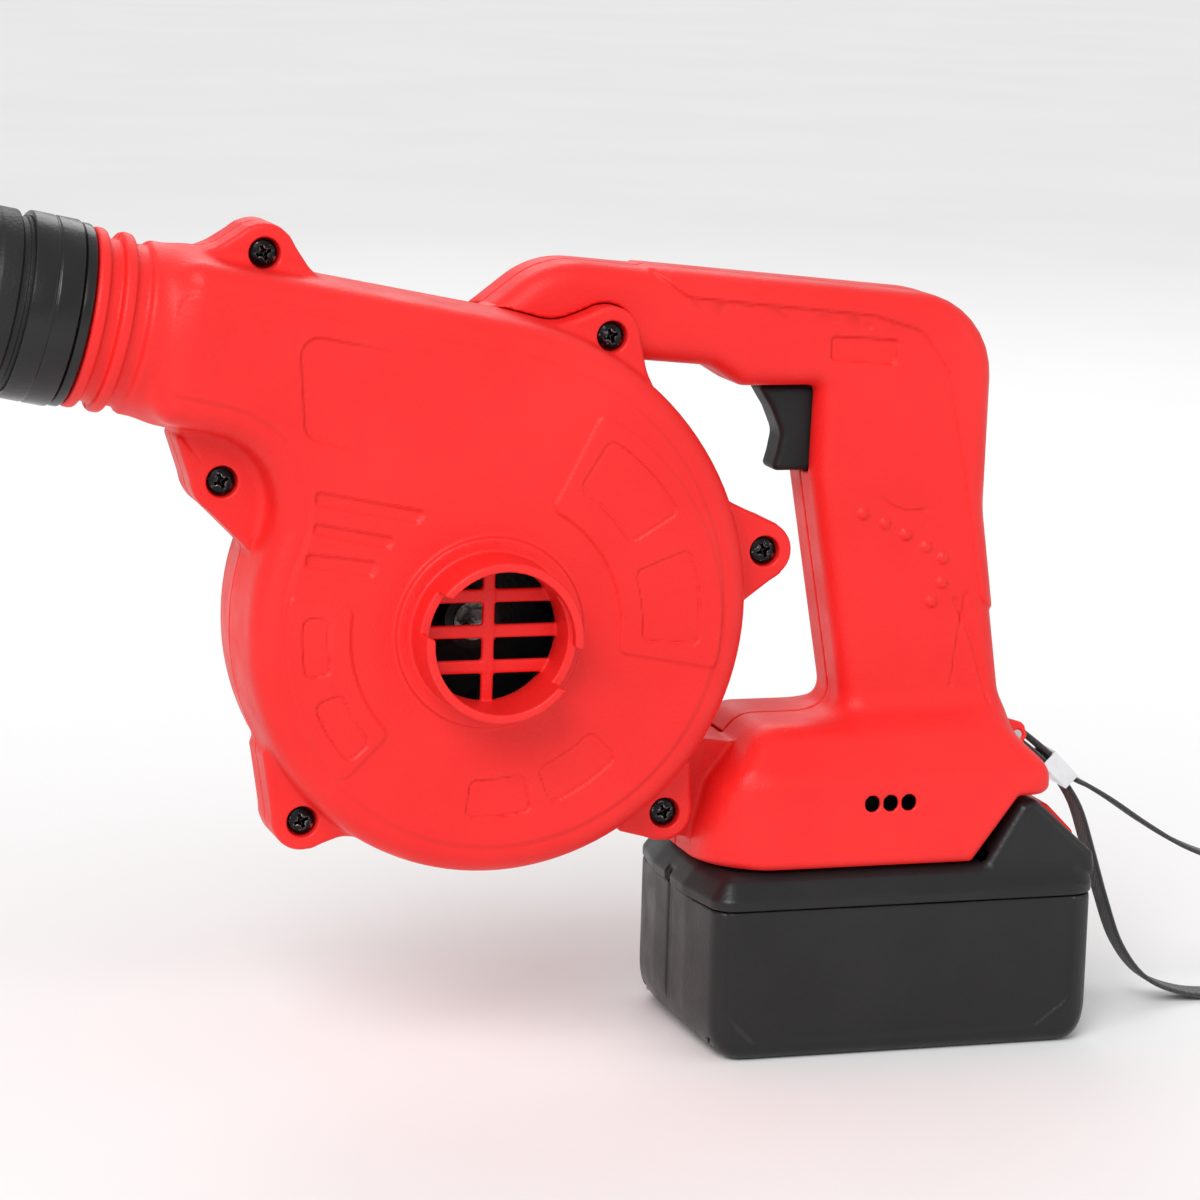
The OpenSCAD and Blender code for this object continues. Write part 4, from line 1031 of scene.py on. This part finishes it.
def add_lid():
    """Pack's lid: sloped shoulder, wedge behind the tool's foot, and the rails that the tool slides onto."""
    f = pack_box(PACK_SEAM - 1.5, 75)
    outline = f.plan(PACK_PLAN, 8)
    slope = 0.75 * np.maximum(f.z - 47.6, 0) + 0.5 * np.maximum(f.z - 52.2, 0)
    solid = both(outline + slope + seam_groove(f), f.z - LID_TOP, 1.2)
    wedge = both(f.side_view(WEDGE_VIEW), np.abs(f.y) - 33.5, 3)
    solid = join(solid, wedge, 2)
    rails = np.minimum(f.box(-40, 27, -19.5, 19.5, LID_TOP - 2, 59.2, 0.4),
                       f.box(-40, 30, -23.4, 23.4, 59, 64, 0.8))
    solid = join(solid, rails, 0.6)
    hollow = at_posts(f, both(outline + 5.6, f.z - 52.2, 1), POST_R, 30, 70, 0.8)
    hollow = cut(hollow, f.box(44, PACK_REAR - 4, -6, 6, PACK_SEAM, 47))
    solid = cut(solid, hollow)
    solid = cut(solid, both(both(wedge + WALL, 51.7 - f.z), 22 - f.x))
    for ease, *sides in LID_CUTS:
        solid = cut(solid, f.box(*sides), ease)
    solid = at_posts(f, solid, 1.55, 40, 50.5)
    return skin("pack_lid", f, both(solid, PACK_SEAM + 0.1 - f.z), PACK_BLACK, 0.45)


def add_button():
    """Release button: thumb pad with three grooves, its arm and its catch."""
    f = Field((37.5, -11, 49), (67, 11, 75.5), FINE)
    pad = both(f.side_view(BUTTON_VIEW), np.abs(f.y) - 9, 1.4)
    slope = ((f.x - 60.5) + (f.z - 61)) * 0.707
    level = ((f.z - 61) - (f.x - 60.5)) * 0.707
    for k in (-1, 0, 1):
        groove = both(np.hypot(slope - 0.3, level - 2.6 * k) - 0.8, np.abs(f.y) - 6)
        pad = cut(pad, groove, 0.5)
    arm = f.box(39.2, 52.4, -5.8, 5.8, 60.6, 63.4, 0.6)
    catch = f.box(39.2, 42.8, -5.8, 5.8, 61, 73.6, 0.8)
    return skin("pack_button", f, join(join(pad, arm, 1), catch, 1), RED_SATIN, 0.6)


settle(add_case(), "battery_case", "battery")
settle(add_lid(), "battery_lid", "battery")
settle(add_button(), "release_button", "button")

# ---------- trigger and springs ----------

SWITCH_FRONT = -4.0
CATCH_SPRING = (55, 0, 47.1)


def add_trigger():
    """Trigger: rounded finger face, ribbed inside, with the plunger's hole."""
    f = Field((-41, -8, 165), (TRIGGER_BACK + 2, 8, 194), FINE)
    solid = both(f.side_view(TRIGGER_VIEW, 8), np.abs(f.y) - 6, 2.2)
    for z0, z1 in ((169.5, TRIGGER_Z - 3.4), (TRIGGER_Z + 3.4, 189.5)):
        solid = cut(solid, f.box(-27, TRIGGER_BACK + 3, -4.4, 4.4, z0, z1, 0.8), 0.3)
    hole = both(np.hypot(f.y, f.z - TRIGGER_Z) - 2, TRIGGER_BACK - 5 - f.x)
    return skin("finger_trigger", f, cut(solid, hole), GRIPPY, 0.6)


def add_spring(name, start, axis, length, radius, wire, turns):
    """Coil spring, as a tube wound round an axis."""
    axis = np.array(axis, float)
    first = np.array((0.0, 1.0, 0.0))
    second = np.cross(axis, first)
    steps, around = 20 * turns, 10
    rings = []
    for i in range(steps + 1):
        a = 2 * math.pi * turns * i / steps
        out = first * math.cos(a) + second * math.sin(a)
        centre = np.array(start) + out * radius + axis * (wire + (length - 2 * wire) * i / steps)
        angles = [-2 * math.pi * j / around for j in range(around)]
        rings.append([centre + wire * (out * math.cos(b) + axis * math.sin(b)) for b in angles])
    return loft(name, rings, STEEL)


settle(add_trigger(), "trigger", "trigger")
spring = add_spring("return_spring", (TRIGGER_BACK + 0.1, 0, TRIGGER_Z), (1, 0, 0),
                    SWITCH_FRONT - TRIGGER_BACK - 0.2, 3, 0.35, 4)
settle(spring, "trigger_spring", "main")
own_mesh(spring)
spring = add_spring("catch_spring", CATCH_SPRING, (0, 0, 1), 3.6, 3, 0.25, 3)
settle(spring, "button_spring", "battery")
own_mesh(spring)

# ---------- nozzle ----------


def turned(name, corners, material, lift=None, turns=120):
    """Part turned round the duct's axis: its section's corners are (radius, way along, corner radius)."""
    section = round_corners(corners, 3)
    rows = [section[0]]
    for a, b in zip(section, np.roll(section, -1, axis=0)):
        pieces = max(1, math.ceil(math.hypot(*(b - a)) / (1.5 if lift else 60)))
        rows += [a + (b - a) * i / pieces for i in range(1, pieces + 1)]
    rows = rows[:-1]
    out = np.array((-COS_TILT, 0, SIN_TILT))
    level = np.array((SIN_TILT, 0, COS_TILT))
    side = np.array((0.0, 1.0, 0.0))
    centre = np.array((NECK_X, SEAM_Y, NECK_Z))
    angles = [2 * math.pi * j / turns for j in range(turns)]
    rings = []
    for r, s in rows:
        high = [r + (lift(r, s, a) if lift else 0) for a in angles]
        rings.append([centre + out * s + h * (level * math.cos(a) + side * math.sin(a))
                      for h, a in zip(high, angles)])
    piece = loft(name, rings, material, True)
    piece.data.set_sharp_from_angle(angle=math.radians(28))
    return piece


def tube_panels(r, s, a):
    """Two long raised panels on the nozzle's sides, each with a groove round it."""
    if r < 19 or s < 44:
        return 0
    best = 0
    for middle in (math.pi * 0.5, math.pi * 1.5):
        off = abs((a - middle + math.pi) % (2 * math.pi) - math.pi) * r
        d = math.hypot(max(abs(s - 72) - 14, 0), max(off - 6, 0)) - 7
        best += 0.55 * max(0, min(1, 0.5 - d)) - 0.4 * max(0, 1 - abs(d - 2.2))
    return best


RING_SECTION = [(22.48, 15.6, 0.3), (25.2, 15.6, 0.9), (25.2, 18.8, 0.9), (22.48, 18.8, 0.3)]
CLAMP_SECTION = [
    (24.1, 19, 0.3), (25.7, 19, 0.7), (25.7, 25.3, 0.8), (25.25, 25.8, 0.3), (25.7, 26.3, 0.8),
    (25.7, 32.6, 0.7), (24.1, 32.6, 0.3),
]
PIPE_SECTION = [
    (22.48, 19, 0.3), (24.08, 19, 0.3), (24.08, 33.4, 0.2), (23.6, 33.8, 0.2), (23.6, 35.4, 0.5),
    (25.2, 36, 0.8), (25.2, 41, 1.5), (24.8, 42, 2), (17.6, 116.5, 3), (17, 117.5, 3), (17, 140.5, 0.4),
    (17.9, 141, 0.4), (17.9, 142.4, 0.4), (15, 142.5, 0.5), (15, 117.5, 3), (22.6, 43, 4), (21, 38, 2),
    (21, 34.6, 0.4), (22.48, 34.6, 0.3),
]
settle(turned("lock_ring", RING_SECTION, BAND), "nozzle_ring", "nozzle_seat")
settle(turned("clamp_band", CLAMP_SECTION, BAND), "nozzle_collar", "nozzle")
settle(turned("nozzle_pipe", PIPE_SECTION, DARK, tube_panels), "nozzle_tube", "nozzle")

# ---------- screws ----------


def add_screws(name, places, seat, head_r, shank_r, length, turned_round=False):
    """Domed cross-head screws along Y, all cut from one field; turned_round points them towards -Y."""
    f = Field((-head_r - 0.6, -3.4, -head_r - 0.6), (head_r + 0.6, length + 0.8, head_r + 0.6), 0.22)
    r = np.hypot(f.x, f.z)
    dome = np.sqrt(r ** 2 + (f.y - 6.2) ** 2) - 8.8
    head = both(both(r - head_r, np.abs(f.y + 1.3) - 1.3, 0.4), dome, 0.3)
    a = math.radians(20)
    u = f.x * math.cos(a) + f.z * math.sin(a)
    v = f.z * math.cos(a) - f.x * math.sin(a)
    sunk = (f.y + 2.6) * 0.45
    for w, q in ((u, v), (v, u)):
        blade = both(np.abs(w) - 0.5 + 0.12 * (f.y + 2.6), np.abs(q) - head_r * 0.58 + sunk)
        head = cut(head, both(blade, f.y + 0.7), 0.2)
    head = cut(head, both(r - 1.25 + sunk, f.y + 0.5), 0.2)
    thread = 0.16 * np.sin(2 * math.pi * (f.y + np.arctan2(f.z, f.x) / (2 * math.pi)) / 1.1)
    shank = both(r - shank_r + 0.16 - thread, np.abs(f.y - length / 2) - length / 2, 0.4)
    piece = skin(name, f, join(head, shank, 0.3), SCREW, 0.5)
    co = np.array([v.co for v in piece.data.vertices]) / MM
    if turned_round:
        co = co * (-1, -1, 1)
    faces = [tuple(p.vertices) for p in piece.data.polygons]
    bpy.data.objects.remove(piece)
    points = np.concatenate([co + (x, seat, z) for x, z in places])
    copies = [tuple(v + len(co) * k for v in face) for k in range(len(places)) for face in faces]
    return add_mesh(name, points, copies, SCREW)


cover_set = add_screws("cover_screw_set", [centre for centre, _, _ in LUGS], SCREW_FACE, 3.9, 1.9, 14)
settle(cover_set, "cover_screws", "main")
shell_set = add_screws("shell_screw_set", SHELL_POSTS, 11, 3.0, 1.5, 18, True)
settle(shell_set, "shell_screws", "main")

# ---------- floor and light ----------

LOOK_AT = Vector((-0.08, 0, 0.13))
FLOOR_HALF = 14000


def add_floor():
    n = Nodes("pale_floor")
    tint = n.mix(n.spread(n.noise(3, 4), 0, 1), (0.9, 0.9, 0.9), (0.88, 0.88, 0.88))
    n.finish(tint, n.spread(n.noise(8), 0.7, 0.8), n.noise(600), 0.00002)
    corners = [(x * FLOOR_HALF, y * FLOOR_HALF, 0) for x, y in ((-1, -1), (1, -1), (1, 1), (-1, 1))]
    add_mesh("floor", corners, [(0, 1, 2, 3)], n.material)


def add_lamp(name, kind, towards, power, place=(0, 0, 0), **settings):
    data = bpy.data.lights.new(name, kind)
    data.energy = power
    for key, value in settings.items():
        setattr(data, key, value)
    lamp = bpy.data.objects.new(name, data)
    lamp.location = place
    lamp.rotation_euler = Vector(towards).to_track_quat("-Z", "Y").to_euler()
    bpy.context.collection.objects.link(lamp)


add_floor()
# a broad soft sun from the upper left in front lights the whole floor evenly
add_lamp("sun", "SUN", (0.5, 0.62, -0.72), 1.45, angle=math.radians(35))
for name, place, size, power in (("key", (-0.8, -1.5, 1.2), 0.9, 7), ("fill", (1.2, -1.0, 0.5), 1.0, 2),
                                 ("back", (0.2, 1.5, 1.3), 1.1, 6)):
    add_lamp(name, "AREA", LOOK_AT - Vector(place), power, place, shape="DISK", size=size)
world = bpy.data.worlds.new("studio")
world.use_nodes = True
sky = world.node_tree.nodes["Background"]
sky.inputs["Color"].default_value = (1, 1, 1, 1)
sky.inputs["Strength"].default_value = 0.62
bpy.context.scene.world = world
bpy.context.scene.view_settings.view_transform = "Standard"

# ---------- last update --------------

bpy.context.view_layer.update()
